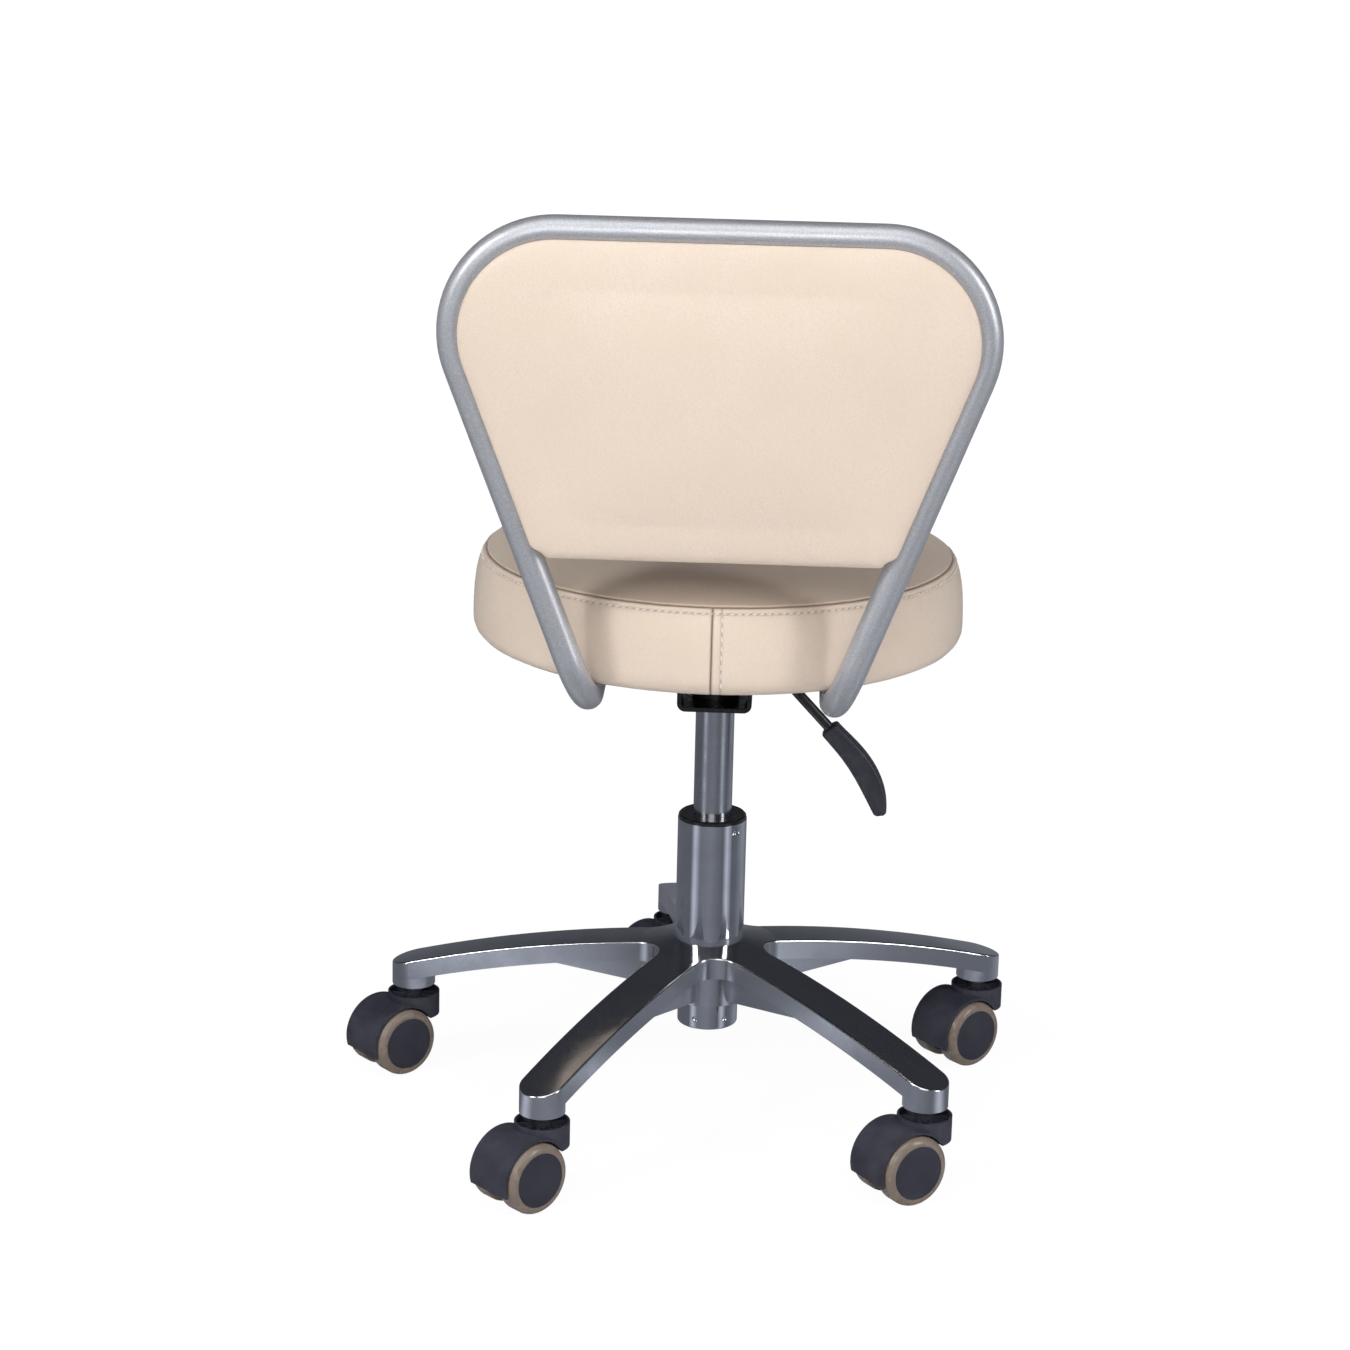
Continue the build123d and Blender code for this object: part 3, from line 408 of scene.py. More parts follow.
zinc, tree, shader, place = start("zinc plated steel", (0.58, 0.60, 0.62), 0.34, 1.0)
spangle = node(tree, "TexVoronoi", None, Vector=place, Scale=240.0).outputs["Distance"]
colours(tree, shader, spangle, (0.50, 0.52, 0.54), (0.68, 0.70, 0.71))
link_rough(tree, shader, spangle, 0.26, 0.45)
bump(tree, shader, use(tree, moulded, Vector=place, Scale=1200.0)["Height"], 0.00006)

spring_steel, tree, shader, place = start("spring steel", (0.16, 0.16, 0.17), 0.4, 0.9)
heat = use(tree, smudge, Vector=place, Scale=180.0)
colours(tree, shader, heat["Mask"], (0.12, 0.12, 0.13), (0.24, 0.22, 0.20))
link_rough(tree, shader, heat["Mask"], 0.32, 0.5)

# %% [markdown]
# The back frame is steel tube sprayed with silver paint. Its aluminium flakes make a broad satin
# highlight that breaks up into sparkles, under a thin clear coat that is hardly sharper. The paint
# has a slight orange-peel waviness.

# %% Silver flake paint
silver, tree, shader, place = start(
    "silver paint", (0.54, 0.55, 0.585), 0.42, 0.6, Coat_Weight=0.2, Coat_Roughness=0.28
)
glitter = use(tree, flakes, Vector=place, Scale=2600.0)
handled = use(tree, smudge, Vector=place, Scale=18.0)
colours(tree, shader, glitter["Sparkle"], (0.48, 0.49, 0.525), (0.70, 0.71, 0.74))
link_rough(tree, shader, weighed(tree, handled["Mask"], 0.6, glitter["Sparkle"], 0.4), 0.38, 0.48)
both = maths(tree, "MULTIPLY_ADD", glitter["Sparkle"], 0.1, glitter["Height"])
bump(tree, shader, both, 0.00006, 0.4)

# %% [markdown]
# ## Plastics, rubber and black paint
# The castor housings and wheel discs are spark-textured nylon, blue-black and matt. The treads are
# a grey-brown urethane that is moulded glossy. The mechanism is a pressing in black powder paint.


# %% A family of black finishes
def black(name, dark, light, rough, texture, relief, gloss=0.5):
    """Black plastic, rubber or paint: fine texture, pale specks of dust and a drift in gloss."""
    material, tree, shader, place = start(name, dark, rough, Specular_IOR_Level=gloss)
    fine = use(tree, moulded, Vector=place, Scale=texture)
    drift = use(tree, smudge, Vector=place, Scale=45.0)
    colours(tree, shader, weighed(tree, fine["Specks"], 0.55, drift["Mask"], 0.3), dark, light)
    link_rough(tree, shader, drift["Mask"], rough, min(rough + 0.12, 1.0))
    bump(tree, shader, fine["Height"], relief)
    return material


castor_nylon = black(
    "castor nylon", (0.028, 0.028, 0.044), (0.110, 0.112, 0.148), 0.50, 1500.0, 0.22 * mm
)
disc_nylon = black(
    "wheel disc nylon", (0.026, 0.026, 0.042), (0.070, 0.071, 0.100), 0.56, 2100.0, 0.12 * mm
)
bush_nylon = black(
    "guide bush", (0.012, 0.012, 0.014), (0.030, 0.030, 0.035), 0.10, 700.0, 0.03 * mm
)
rubber = black(
    "rubber", (0.016, 0.016, 0.017), (0.045, 0.045, 0.045), 0.75, 1100.0, 0.1 * mm, gloss=0.3
)
powder_coat = black(
    "black powder paint", (0.010, 0.010, 0.011), (0.040, 0.040, 0.043), 0.22, 500.0, 0.06 * mm
)
lever_paint = black(
    "lever paint", (0.014, 0.014, 0.017), (0.055, 0.055, 0.062), 0.26, 600.0, 0.05 * mm
)
handle_plastic = black(
    "handle plastic", (0.034, 0.035, 0.048), (0.080, 0.081, 0.096), 0.34, 1300.0, 0.08 * mm
)

urethane, tree, shader, place = start("grey-brown urethane", (0.232, 0.184, 0.150), 0.24)
dull = use(tree, smudge, Vector=place, Scale=60.0)
lint = use(tree, moulded, Vector=place, Scale=800.0)
dusty = weighed(tree, lint["Specks"], 0.5, dull["Mask"], 0.35)
colours(tree, shader, dusty, (0.225, 0.178, 0.145), (0.30, 0.25, 0.21))
link_rough(tree, shader, dull["Mask"], 0.18, 0.36)
bump(tree, shader, lint["Height"], 0.00003)

# %% [markdown]
# ## Dressing the CAD nodes
# One table pairs words in node names with finishes; the first word that matches wins.

# %% Finish for every CAD node
FINISHES = [
    ("_castor_housing", castor_nylon), ("_castor_axle", zinc), ("_rim", disc_nylon),
    ("_tyre", urethane), ("castor_stems", zinc), ("castor_grip_rings", spring_steel),
    ("star_base", aluminium),
    ("column_tube", chrome), ("column_guide_bush", bush_nylon), ("column_end_plate", zinc),
    ("piston_rod", ground), ("rod_clip", spring_steel), ("thrust_bearing", spring_steel),
    ("rubber_bumper", rubber), ("gas_cylinder", ground), ("cylinder_gland", bush_nylon),
    ("valve_pin", zinc), ("mechanism_plate", powder_coat), ("mechanism_housing", powder_coat),
    ("mechanism_bolts", zinc), ("board_t_nuts", zinc), ("seat_board", plywood),
    ("back_board", plywood), ("seat_foam", foam), ("back_foam", foam),
    ("seat_dust_cover", dust_cloth), ("seat_cover", vinyl), ("back_cover", vinyl),
    ("tube_end_plugs", rubber), ("back_frame_bolts", zinc), ("pad_screws", zinc),
    ("back_frame", silver), ("lever_rod", lever_paint), ("lever_handle", handle_plastic),
]
for name, found in nodes.items():
    finish = next(material for word, material in FINISHES if word in name)
    found.data.materials.clear()
    found.data.materials.append(finish)
print("finished", len(nodes), "CAD nodes with", len(bpy.data.materials), "materials")

# %% [markdown]
# ## The seat cushion
# A round cushion is a top panel and a boxing strip sewn together in a ring. Turned about the
# column, one section line gives the whole shape: a nearly flat top that falls to the seam, the
# boxing that bulges out below it, a soft roll at the bottom edge and the hem under the board.
# The section is worked out here in metres from the CAD cover's own box.

# %% Section of the seat
seat_low, seat_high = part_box("seat_cover")
seat_radius, seat_bottom, seat_crown = seat_high.x, seat_low.z, seat_high.z
seam_inset, seam_drop = 8 * mm, 12.5 * mm
seam = np.array([seat_radius - seam_inset, seat_crown - seam_drop])
roll = 12 * mm
hem = 140.5 * mm
centre_hole = 2 * mm
board_level = seat_bottom + 1.15 * mm

crown_line = bezier(
    (centre_hole, seat_crown), (85 * mm, seat_crown), (135 * mm, seat_crown - 4.2 * mm), seam, 60
)
boxing_line = bezier(
    seam, seam + (5.5 * mm, -9 * mm),
    (seat_radius, seat_crown - 34 * mm), (seat_radius, seat_bottom + roll), 60,
)
turn = np.linspace(0, np.pi / 2, 16)[:, None]
roll_centre = np.array([seat_radius - roll, seat_bottom + roll])
roll_line = roll_centre + roll * np.hstack([np.cos(turn), -np.sin(turn)])
hem_line = np.array([[hem, seat_bottom], [hem, board_level], [centre_hole, board_level]])
section = np.vstack([crown_line, boxing_line[1:], roll_line[1:], hem_line])
seam_at = lengths(crown_line)[-1]
boxing_end = seam_at + lengths(boxing_line)[-1]
hem_at = lengths(section)[-3]
whole = lengths(section)[-1]
print("section", round(whole, 3), "m long, seam at", round(seam_at, 4), "m")


def revolved(turns, places):
    """Surface of revolution: each section point (r, z) at a distance along the section is turned
    through every angle, giving (r cos a, r sin a, z)."""
    r, z = along(section, places).T
    a = np.asarray(turns)[:, None]
    return np.stack([r * np.cos(a), r * np.sin(a), z + 0 * a], -1)


# %% [markdown]
# Stuffing pushes the cover out wherever nothing holds it. Blender's Cloth does exactly that: the
# cover is a spring net, Pressure blows it up from inside and a pinned group stays where it is. The
# net here is coarse so that it settles in seconds, and only how far each point moved is kept. That
# movement is then carried over to the fine surface, which holds the seams that a coarse net can't.

# %% Blow up a coarse net and measure how far it moves
SETTLING_FRAMES = 20


def puffed(name, net, held, pressure, limit):
    """Movement of every point of a closed net (rows, columns, 3) after some frames under pressure.
    Held points don't move, and no point moves further than the limit."""
    flat = net.reshape(-1, 3)
    points, faces = with_poles(net)
    mesh = bpy.data.meshes.new(name)
    mesh.from_pydata(points, [], faces)
    body = bpy.data.objects.new(name, mesh)
    scene.collection.objects.link(body)
    pins = body.vertex_groups.new(name="held")
    pins.add(np.flatnonzero(held.ravel()).tolist(), 1.0, "REPLACE")
    cloth = body.modifiers.new("cover", "CLOTH")
    cloth.settings.quality = 6
    cloth.settings.mass = 0.3
    cloth.settings.tension_stiffness = cloth.settings.compression_stiffness = 18
    cloth.settings.bending_stiffness = 1.5
    cloth.settings.vertex_group_mass = "held"
    cloth.settings.use_pressure = True
    cloth.settings.uniform_pressure_force = pressure
    cloth.settings.effector_weights.gravity = 0.0
    for moment in range(1, SETTLING_FRAMES + 1):
        scene.frame_set(moment)
    swollen = body.evaluated_get(bpy.context.evaluated_depsgraph_get()).to_mesh()
    after = np.zeros(len(swollen.vertices) * 3, np.float32)
    swollen.vertices.foreach_get("co", after)
    moved = after.reshape(-1, 3)[: len(flat)].astype(float) - flat
    far = np.linalg.norm(moved, axis=1, keepdims=True)
    moved *= np.minimum(1.0, limit / np.maximum(far, 1e-9))
    bpy.data.objects.remove(body)
    scene.frame_set(1)
    most = float(np.linalg.norm(moved, axis=1).max())
    print(name, "swelled by up to", round(most / mm, 1), "mm")
    return moved.reshape(net.shape)


def carried(moved, coarse_rows, coarse_columns, rows, columns):
    """Movement of a coarse net read at the places of a finer one: linear along a row, and linear
    round the piece, where the last row joins the first."""
    wide = np.stack([
        [np.interp(columns, coarse_columns, row[:, k]) for k in range(3)] for row in moved
    ])
    ends = np.append(coarse_rows, coarse_rows[0] + 2 * np.pi)
    wide = np.concatenate([wide, wide[:1]])
    share = np.interp(rows, ends, np.arange(len(ends)))
    low = np.minimum(share.astype(int), len(ends) - 2)
    part = (share - low)[:, None, None]
    return np.moveaxis(wide[low] * (1 - part) + wide[low + 1] * part, 1, 2)


# %% [markdown]
# The net swells from a slightly smaller seat, held at the seam ring, at the bottom edge and under
# the board, just as sewing and staples hold the real one.

# %% Swell the seat
net_turns = np.linspace(0, 2 * np.pi, 144, endpoint=False)
net_places = np.concatenate([
    np.linspace(4 * mm, seam_at, 22),
    np.linspace(seam_at, boxing_end, 12)[1:],
    np.linspace(boxing_end, whole, 10)[1:],
])
seat_net = revolved(net_turns, net_places)
held = np.zeros(seat_net.shape[:2], bool)
held[:, np.abs(net_places - seam_at) < 1 * mm] = True
held[:, net_places > boxing_end + 5 * mm] = True
seat_swell = puffed("seat_net", seat_net, held, 4.0, 5 * mm)

# %% [markdown]
# Now the fine surface. Its points crowd together at the ring seam and at the vertical seam at the
# back, where the boxing strip's two ends meet. A seam is a valley: the surface is pushed inwards
# by a depth that fades with distance from the line. Beside the ring the vinyl also gathers into
# small puckers, which are slow waves of uneven height that die away within a couple of
# centimetres.

# %% The seat cushion
back_turn = np.pi / 2
ring_row, back_row = 5.2 * mm, 6.5 * mm
WAVES = ((31, 0.4, 0.30), (53, 2.1, 0.26), (84, 4.4, 0.20), (127, 1.2, 0.14))


def crowded(centre, reach, close, begin, end, count):
    """Values from begin to end, count of them evenly spread, with extra ones every close distance
    within reach of the centre."""
    extra = np.arange(centre - reach, centre + reach, close)
    return np.unique(np.round(np.concatenate([np.linspace(begin, end, count), extra]), 7))


def valley_of(distance, width):
    """One at the seam line, falling to nothing over its width as a bell curve."""
    return np.exp(-((distance / width) ** 2))


turns = crowded(back_turn, 0.05, 0.0028, 0, 2 * np.pi, 301)[:-1]
places = crowded(seam_at + 2 * mm, 5 * mm, 0.4 * mm, 0, whole, 90)
places = places[(places <= hem_at) | (places >= whole - 0.5 * mm)]
cushion = revolved(turns, places) + carried(seat_swell, net_turns, net_places, turns, places)

out = revolved(turns, places)[..., :2]
out = out / np.linalg.norm(out, axis=-1, keepdims=True)
from_seam = places[None, :] - seam_at
from_back = (turns[:, None] - back_turn) * seat_radius
on_boxing = np.clip(from_seam / mm, 0, 1) * np.clip((hem_at - places[None, :]) / (20 * mm), 0, 1)
wave = sum(size * np.sin(count * turns[:, None] + shift) for count, shift, size in WAVES)
pucker = 0.55 * mm * wave * valley_of(from_seam - 4 * mm, 11 * mm)
ring_dent = 2.8 * valley_of(from_seam, 1.0 * mm) + 0.6 * valley_of(from_seam - ring_row, 1.6 * mm)
back_dent = 1.3 * valley_of(from_back, 0.8 * mm) + 0.35 * valley_of(from_back - back_row, 1.4 * mm)
inward = (ring_dent + on_boxing * back_dent) * mm - pucker * (np.abs(from_seam) > 0.2 * mm)
slope = np.clip(0.5 + from_seam / (12 * mm), 0, 1)
cushion[..., :2] -= out * (inward * (0.25 + 0.75 * slope))[..., None]
cushion[..., 2] -= inward * (1 - slope)

# Painted shade: these values darken the vinyl in the seam valleys and beside the stitch rows.
seam_shade = np.maximum(valley_of(from_seam, 0.9 * mm), on_boxing * valley_of(from_back, 0.8 * mm))
seam_shade = np.maximum(seam_shade, 0.55 * valley_of(from_seam - ring_row, 0.7 * mm))
seam_shade = np.maximum(seam_shade, 0.5 * on_boxing * valley_of(from_back - back_row, 0.7 * mm))
points, faces = with_poles(cushion)
unrolled = np.broadcast_arrays(turns[:, None] * seat_radius, places[None, :])
spots, _ = with_poles(np.stack(unrolled, -1))
at_poles = [0.0, 0.0]
seam_shade = np.append(seam_shade.ravel(), at_poles)
seat_cushion = piece(
    "seat_cushion", points, faces, vinyl, "seat", uv=spots, seam_shade=seam_shade
)
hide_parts("seat_cover", "seat_foam")

# %% [markdown]
# ## Stitches
# Beside a seam runs a row of topstitching. Each stitch is a short plump piece of thread that dips
# into the vinyl at both ends and leans a little, because the machine's thread is twisted. All the
# stitches of a row are one mesh: the same small capsule, repeated at evenly spaced places.

# %% A row of stitches
CAPSULE_SIDES, CAPSULE_RINGS = 8, 9
STITCH_WIDTH, STITCH_LEAN = 1.15 * mm, 0.16


def stitches(name, line, outwards, pitch, length, width, lean, body):
    """Capsules along a line of surface points. A capsule's ring at t from -1 to 1 has the radius
    width/2 * sqrt(1 - t^4), and its middle stands a third of a width above the surface."""
    total = lengths(line)[-1]
    count = int(total / pitch)
    at = (np.arange(count) + 0.5) * total / count
    s = lengths(line)
    middle = along(line, at)
    normal = np.stack([np.interp(at, s, outwards[:, k]) for k in range(3)], -1)
    reach = pitch / 4
    ahead = along(line, np.minimum(at + reach, total)) - along(line, np.maximum(at - reach, 0))
    ahead /= np.linalg.norm(ahead, axis=1, keepdims=True)
    normal -= ahead * (normal * ahead).sum(1, keepdims=True)
    normal /= np.linalg.norm(normal, axis=1, keepdims=True)
    side = np.cross(normal, ahead)
    forward = ahead * math.cos(lean) + side * math.sin(lean)
    side = np.cross(normal, forward)
    t = np.linspace(-0.98, 0.98, CAPSULE_RINGS)
    turn = np.linspace(2 * np.pi, 0, CAPSULE_SIDES, endpoint=False)
    radius = width / 2 * np.sqrt(1 - t**4)
    rise = width * (0.34 - 0.5 * t**4)
    parts = (
        (t * length / 2)[None, :] + 0 * turn[:, None],
        radius[None, :] * np.cos(turn)[:, None],
        radius[None, :] * np.sin(turn)[:, None] + rise[None, :],
    )
    points = middle[:, None, None] + sum(
        part[..., None] * way[:, None, None] for part, way in zip(parts, (forward, side, normal))
    )
    faces = repeated(closed_tube(CAPSULE_SIDES, CAPSULE_RINGS), t.size * turn.size, count)
    uv = np.stack(np.broadcast_arrays(turn[:, None] * width / 2, t[None, :] * length / 2), -1)
    uv = np.broadcast_to(uv, (count, *uv.shape))
    piece(name, points, faces, thread, body, uv=uv)


def level(place):
    """The ring of points and outward directions on the cushion at a distance along its section."""
    j = int(np.searchsorted(places, place))
    part = (place - places[j - 1]) / (places[j] - places[j - 1])
    ring = cushion[:, j - 1] * (1 - part) + cushion[:, j] * part
    down = cushion[:, j] - cushion[:, j - 1]
    round_it = np.roll(ring, -1, 0) - np.roll(ring, 1, 0)
    return ring, np.cross(down, round_it)


ring, away = level(seam_at + ring_row)
ring, away = np.vstack([ring, ring[:1]]), np.vstack([away, away[:1]])
away /= np.linalg.norm(away, axis=1, keepdims=True)
pitch, length = 5.0 * mm, 3.7 * mm
stitches("seat_topstitch", ring, away, pitch, length, STITCH_WIDTH, STITCH_LEAN, "seat")

i = int(np.searchsorted(turns, back_turn + back_row / seat_radius))
keep = (places > seam_at + back_row) & (places < hem_at - 30 * mm)
column_line = cushion[i, keep]
away = np.tile(np.append(out[i, 0], 0.0), (len(column_line), 1))
pitch, length = 5.8 * mm, 4.3 * mm
stitches("back_topstitch", column_line, away, pitch, length, STITCH_WIDTH, STITCH_LEAN, "seat")

# %% [markdown]
# ## The back pad
# The pad is upholstered on a board and pushed into the bent tube until it wedges. Its outline
# follows the inside of the tube: two sloping sides, rounded corners at the top, and a free bottom
# edge. The padding bulges round the tube both in front and behind, so the tube lies in a groove.
# All of this is drawn flat, in the leaning plane of the frame: across, up, and back.

# %% The frame's plane and the pad's outline
lean = math.radians(3.0)
tube_radius, tube_gap = 9.5 * mm, 0.5 * mm
groove_radius = tube_radius + tube_gap
low_half, high_half = 82.6 * mm, 203.7 * mm
low_level, high_level = 343.5 * mm, 666.5 * mm
plane_y = 173.2 * mm
frame_corner = 68.4 * mm
pad_low = 449.5 * mm
pad_corner = 5 * mm


def in_world(across, up, back):
    """Points given across, up and back in the frame's plane, in the row frame."""
    y = plane_y + up * math.sin(lean) + back * math.cos(lean)
    z = low_level + up * math.cos(lean) - back * math.sin(lean)
    return np.stack(np.broadcast_arrays(across, y, z), -1)


up_low = (pad_low - low_level) / math.cos(lean)
up_high = (high_level - low_level) / math.cos(lean)
side_slope = math.atan2(high_half - low_half, up_high)
reach_in = groove_radius / math.cos(side_slope)


def side_at(up):
    """Half width of the pad at a height up the frame: the tube's line less the tube and the gap."""
    return low_half + (high_half - low_half) * up / up_high - reach_in


def rounded(inset, low_radius, high_radius):
    """Closed outline of the pad, drawn smaller by an inset. Each of its four corners is an arc of
    a radius that touches both sides. Every arc and every straight side has a fixed number of
    points, so outlines with different insets match point for point."""
    low, high = up_low + inset, high_edge - inset
    narrow = inset / math.cos(side_slope)
    half_low, half_high = side_at(low) - narrow, side_at(high) - narrow
    corners = np.array([(-half_low, low), (-half_high, high), (half_high, high), (half_low, low)])
    line = []
    radii = (low_radius, high_radius, high_radius, low_radius)
    for k, (corner, radius) in enumerate(zip(corners, radii)):
        to_last, to_next = corners[k - 1] - corner, corners[(k + 1) % 4] - corner
        to_last, to_next = to_last / np.linalg.norm(to_last), to_next / np.linalg.norm(to_next)
        half = math.acos(float(to_last @ to_next)) / 2
        inward = (to_last + to_next) / np.linalg.norm(to_last + to_next)
        centre = corner + inward * radius / math.sin(half)
        ends = [corner + way * radius / math.tan(half) - centre for way in (to_last, to_next)]
        share = np.linspace(0, 1, ARC_POINTS)[:, None]
        spoke = ends[0] * (1 - share) + ends[1] * share
        line.append(centre + spoke / np.linalg.norm(spoke, axis=1, keepdims=True) * radius)
    sides = [
        np.linspace(arc[-1], following[0], SIDE_POINTS + 2)[1:-1]
        for arc, following in zip(line, line[1:] + line[:1])
    ]
    return np.vstack([part for pair in zip(line, sides) for part in pair])


ARC_POINTS, SIDE_POINTS = 40, 76
high_edge = up_high - groove_radius
top_corner = frame_corner - groove_radius
outline = rounded(0.0, pad_corner, top_corner)
inner_inset = 30 * mm
inwards = (rounded(inner_inset, 4 * pad_corner, 0.62 * top_corner) - outline) / inner_inset
tangent = np.roll(outline, -1, 0) - np.roll(outline, 1, 0)
normal = np.stack([-tangent[:, 1], tangent[:, 0]], -1)
normal /= np.linalg.norm(normal, axis=1, keepdims=True)
middle = np.array([0.0, (up_low + high_edge) / 2])
print("pad outline has", len(outline), "points and is", round(lengths(outline)[-1], 3), "m round")

# %% [markdown]
# Across the edge the surface runs from the middle of the rear face out to the lip, round the tube
# and back over the front. Two such sections are drawn, each as points (outwards from the outline,
# towards the back): one for where the tube grips the pad, and one for the free bottom edge. The
# pad blends from one to the other round its bottom corners.

# %% The pad's two edge sections
turn = np.radians(np.arange(62, -63, -12.4))
groove = np.stack([reach_in - groove_radius * np.cos(turn), groove_radius * np.sin(turn)], -1)
rear_lip = [
    (-30, 16.6), (-22, 16.2), (-14, 15.4), (-7, 14.4), (-1, 13.3), (3.2, 12.1), (5.6, 10.7),
    (6.1, 9.7),
]
front_lip = [
    (6.2, -10.4), (6.3, -13), (5.2, -17.5), (2.6, -22.5), (-2.5, -26.8), (-9, -29.4),
    (-18, -31.2), (-30, -32.4),
]
gripped = np.vstack([np.array(rear_lip) * mm, groove, np.array(front_lip) * mm])
free = np.array([
    (-30, 16.6), (-21, 16.2), (-13, 15.7), (-7.5, 15.0), (-3.6, 13.8), (-1.4, 11.8),
    (-0.3, 8.8), (0.2, 2), (0.3, -9), (-0.1, -15), (-1.3, -20), (-3.8, -24.4), (-8, -27.8),
    (-14, -30.2), (-22, -31.6), (-30, -32.4),
]) * mm
steps = np.linspace(0, 1, 56)


def evened(line):
    """A section's points spaced evenly and softened, from its first point to its last."""
    even = along(line, steps * lengths(line)[-1])
    for _ in range(2):
        even[1:-1] = (even[:-2] + 2 * even[1:-1] + even[2:]) / 4
    return even


gripped, free = evened(gripped), evened(free)
hold = np.clip((outline[:, 1] - up_low - 2 * mm) / (9 * mm), 0, 1)
hold = (hold * hold * (3 - 2 * hold))[:, None, None]
edge = gripped[None] * hold + free[None] * (1 - hold)


def offset(rows, outs):
    """Outline points moved out along their normal, or in towards the smaller matching outline."""
    outs = outs[..., None]
    where, way, square_out = outline[rows], inwards[rows], normal[rows]
    if outs.ndim == 3:
        where, way, square_out = where[:, None], way[:, None], square_out[:, None]
    return where + square_out * np.maximum(outs, 0) + way * np.maximum(-outs, 0)


def pad_surface(rows, ring_count):
    """The pad as rings: the rear face from its middle outwards, the edge section, and the front
    face back to its middle. A ring at share s of a face lies at s times the way from the middle
    to the face's rim, and its height rises by the face's crown times (1 - s to the power 2.4)."""
    def face(rim_out, rim_back, crown, shares):
        rim = offset(rows, rim_out)
        flat = middle + (rim - middle)[:, None] * shares[None, :, None]
        back = rim_back[:, None] + crown * (1 - shares[None, :] ** 2.4)
        return np.concatenate([flat, back[..., None]], -1)

    shares = np.linspace(0.02, 1, ring_count)
    rear_face = face(edge[rows, 0, 0], edge[rows, 0, 1], 5.5 * mm, shares)
    front_face = face(edge[rows, -1, 0], edge[rows, -1, 1], -9 * mm, shares[::-1])
    rim = np.concatenate([offset(rows, edge[rows][..., 0]), edge[rows][..., 1:]], -1)
    local = np.concatenate([rear_face[:, :-1], rim, front_face[:, 1:]], 1)
    return local, in_world(local[..., 0], local[..., 1], local[..., 2])


NET_RINGS, FINE_RINGS = 12, 26
every = np.arange(len(outline))
net_rows = every[::4]
local, pad_net = pad_surface(net_rows, NET_RINGS)
pad_held = np.zeros(local.shape[:2], bool)
pad_held[:, NET_RINGS + 1:-NET_RINGS - 1] = True
pad_swell = puffed("pad_net", pad_net, pad_held, 3.0, 5 * mm)

# %% The back pad
local, pad = pad_surface(every, FINE_RINGS)
fine_columns = np.arange(local.shape[1])
edge_columns = FINE_RINGS - 1 + np.arange(len(steps))
net_columns = np.concatenate([
    np.linspace(0, edge_columns[0], NET_RINGS)[:-1],
    edge_columns,
    np.linspace(edge_columns[-1], fine_columns[-1], NET_RINGS)[1:],
])
row_turn = 2 * np.pi / len(outline)
pad = pad + carried(
    pad_swell, net_rows * row_turn, net_columns, every * row_turn, fine_columns
)
points, faces = with_poles(pad)
spots, _ = with_poles(local[..., :2])
back_pad = piece("back_pad", points, faces, vinyl, "seat", uv=spots)
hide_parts("back_cover", "back_foam")

# %% [markdown]
# ## The lever's handle
# A hard plastic grip is pushed on the rod. Its section is a rounded box that thins towards the
# tip, and it is carried along a line that runs straight for a third of its length and then curls
# downwards. A sharp ridge along its back is where the mould's two halves meet.

# %% The lever's handle
GRIP_SIDES, GRIP_RINGS = 48, 64
droop = math.radians(47.0)
bend_x, bend_z = -27.4 * mm, 343.2 * mm
rod_length, overlap = 92 * mm, 12 * mm
down = np.array([-math.cos(droop), 0, -math.sin(droop)])
above = np.array([-math.sin(droop), 0, math.cos(droop)])
thick = np.array([0.0, 1.0, 0.0])
grip_start = np.array([bend_x, 0, bend_z]) + down * (rod_length - overlap)
spine = np.array([
    (0, 0), (10, 0), (20, 0), (32, -0.6), (44, -2.6), (56, -6.3), (66, -10.6), (74.5, -15.6)
]) * mm
half_width = np.array([7.2, 7.5, 7.8, 8.5, 8.8, 8.0, 6.7, 4.2]) * mm
half_thick = np.array([5.8, 5.9, 5.9, 5.8, 5.5, 5.0, 4.4, 3.6]) * mm
s = lengths(spine)
at = np.linspace(0, s[-1], GRIP_RINGS)


def smooth_through(values):
    """A smooth run of values through control values: a polynomial fitted to them."""
    return np.polyval(np.polyfit(s, values, 5), at)


centre = np.stack([smooth_through(spine[:, 0]), smooth_through(spine[:, 1])], -1)
wide, deep = smooth_through(half_width), smooth_through(half_thick)
heading = np.gradient(centre, axis=0)
heading /= np.linalg.norm(heading, axis=1, keepdims=True)
turn = np.linspace(2 * np.pi, 0, GRIP_SIDES, endpoint=False)
corner = 0.34
box_a = np.sign(np.cos(turn)) * np.abs(np.cos(turn)) ** corner
box_b = np.sign(np.sin(turn)) * np.abs(np.sin(turn)) ** corner
ridge = 1 + 0.26 * np.maximum(0, np.sin(turn)) * np.exp(-(((np.cos(turn) - 0.45) / 0.25) ** 2))
rim = np.clip(np.minimum(at, s[-1] - at) / (2.2 * mm), 0, 1)
cap = 1 - 0.32 * (1 - np.sqrt(1 - (1 - rim) ** 2))
across = (wide * cap)[None, :] * box_a[:, None]
through = (deep * cap)[None, :] * (box_b * ridge)[:, None]
a = centre[None, :, 0] - heading[None, :, 1] * across
b = centre[None, :, 1] + heading[None, :, 0] * across
grip_points = grip_start + a[..., None] * down + b[..., None] * above + through[..., None] * thick
faces = closed_tube(GRIP_SIDES, GRIP_RINGS)
handle = piece("lever_grip", grip_points, faces, handle_plastic, "lever")
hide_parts("lever_handle")

# %% [markdown]
# ## Under the seat
# The vinyl's hem is pulled over the board and stapled through the dust cloth. The staples are
# small bent wires in a ring, and they only show when the stool is turned over.

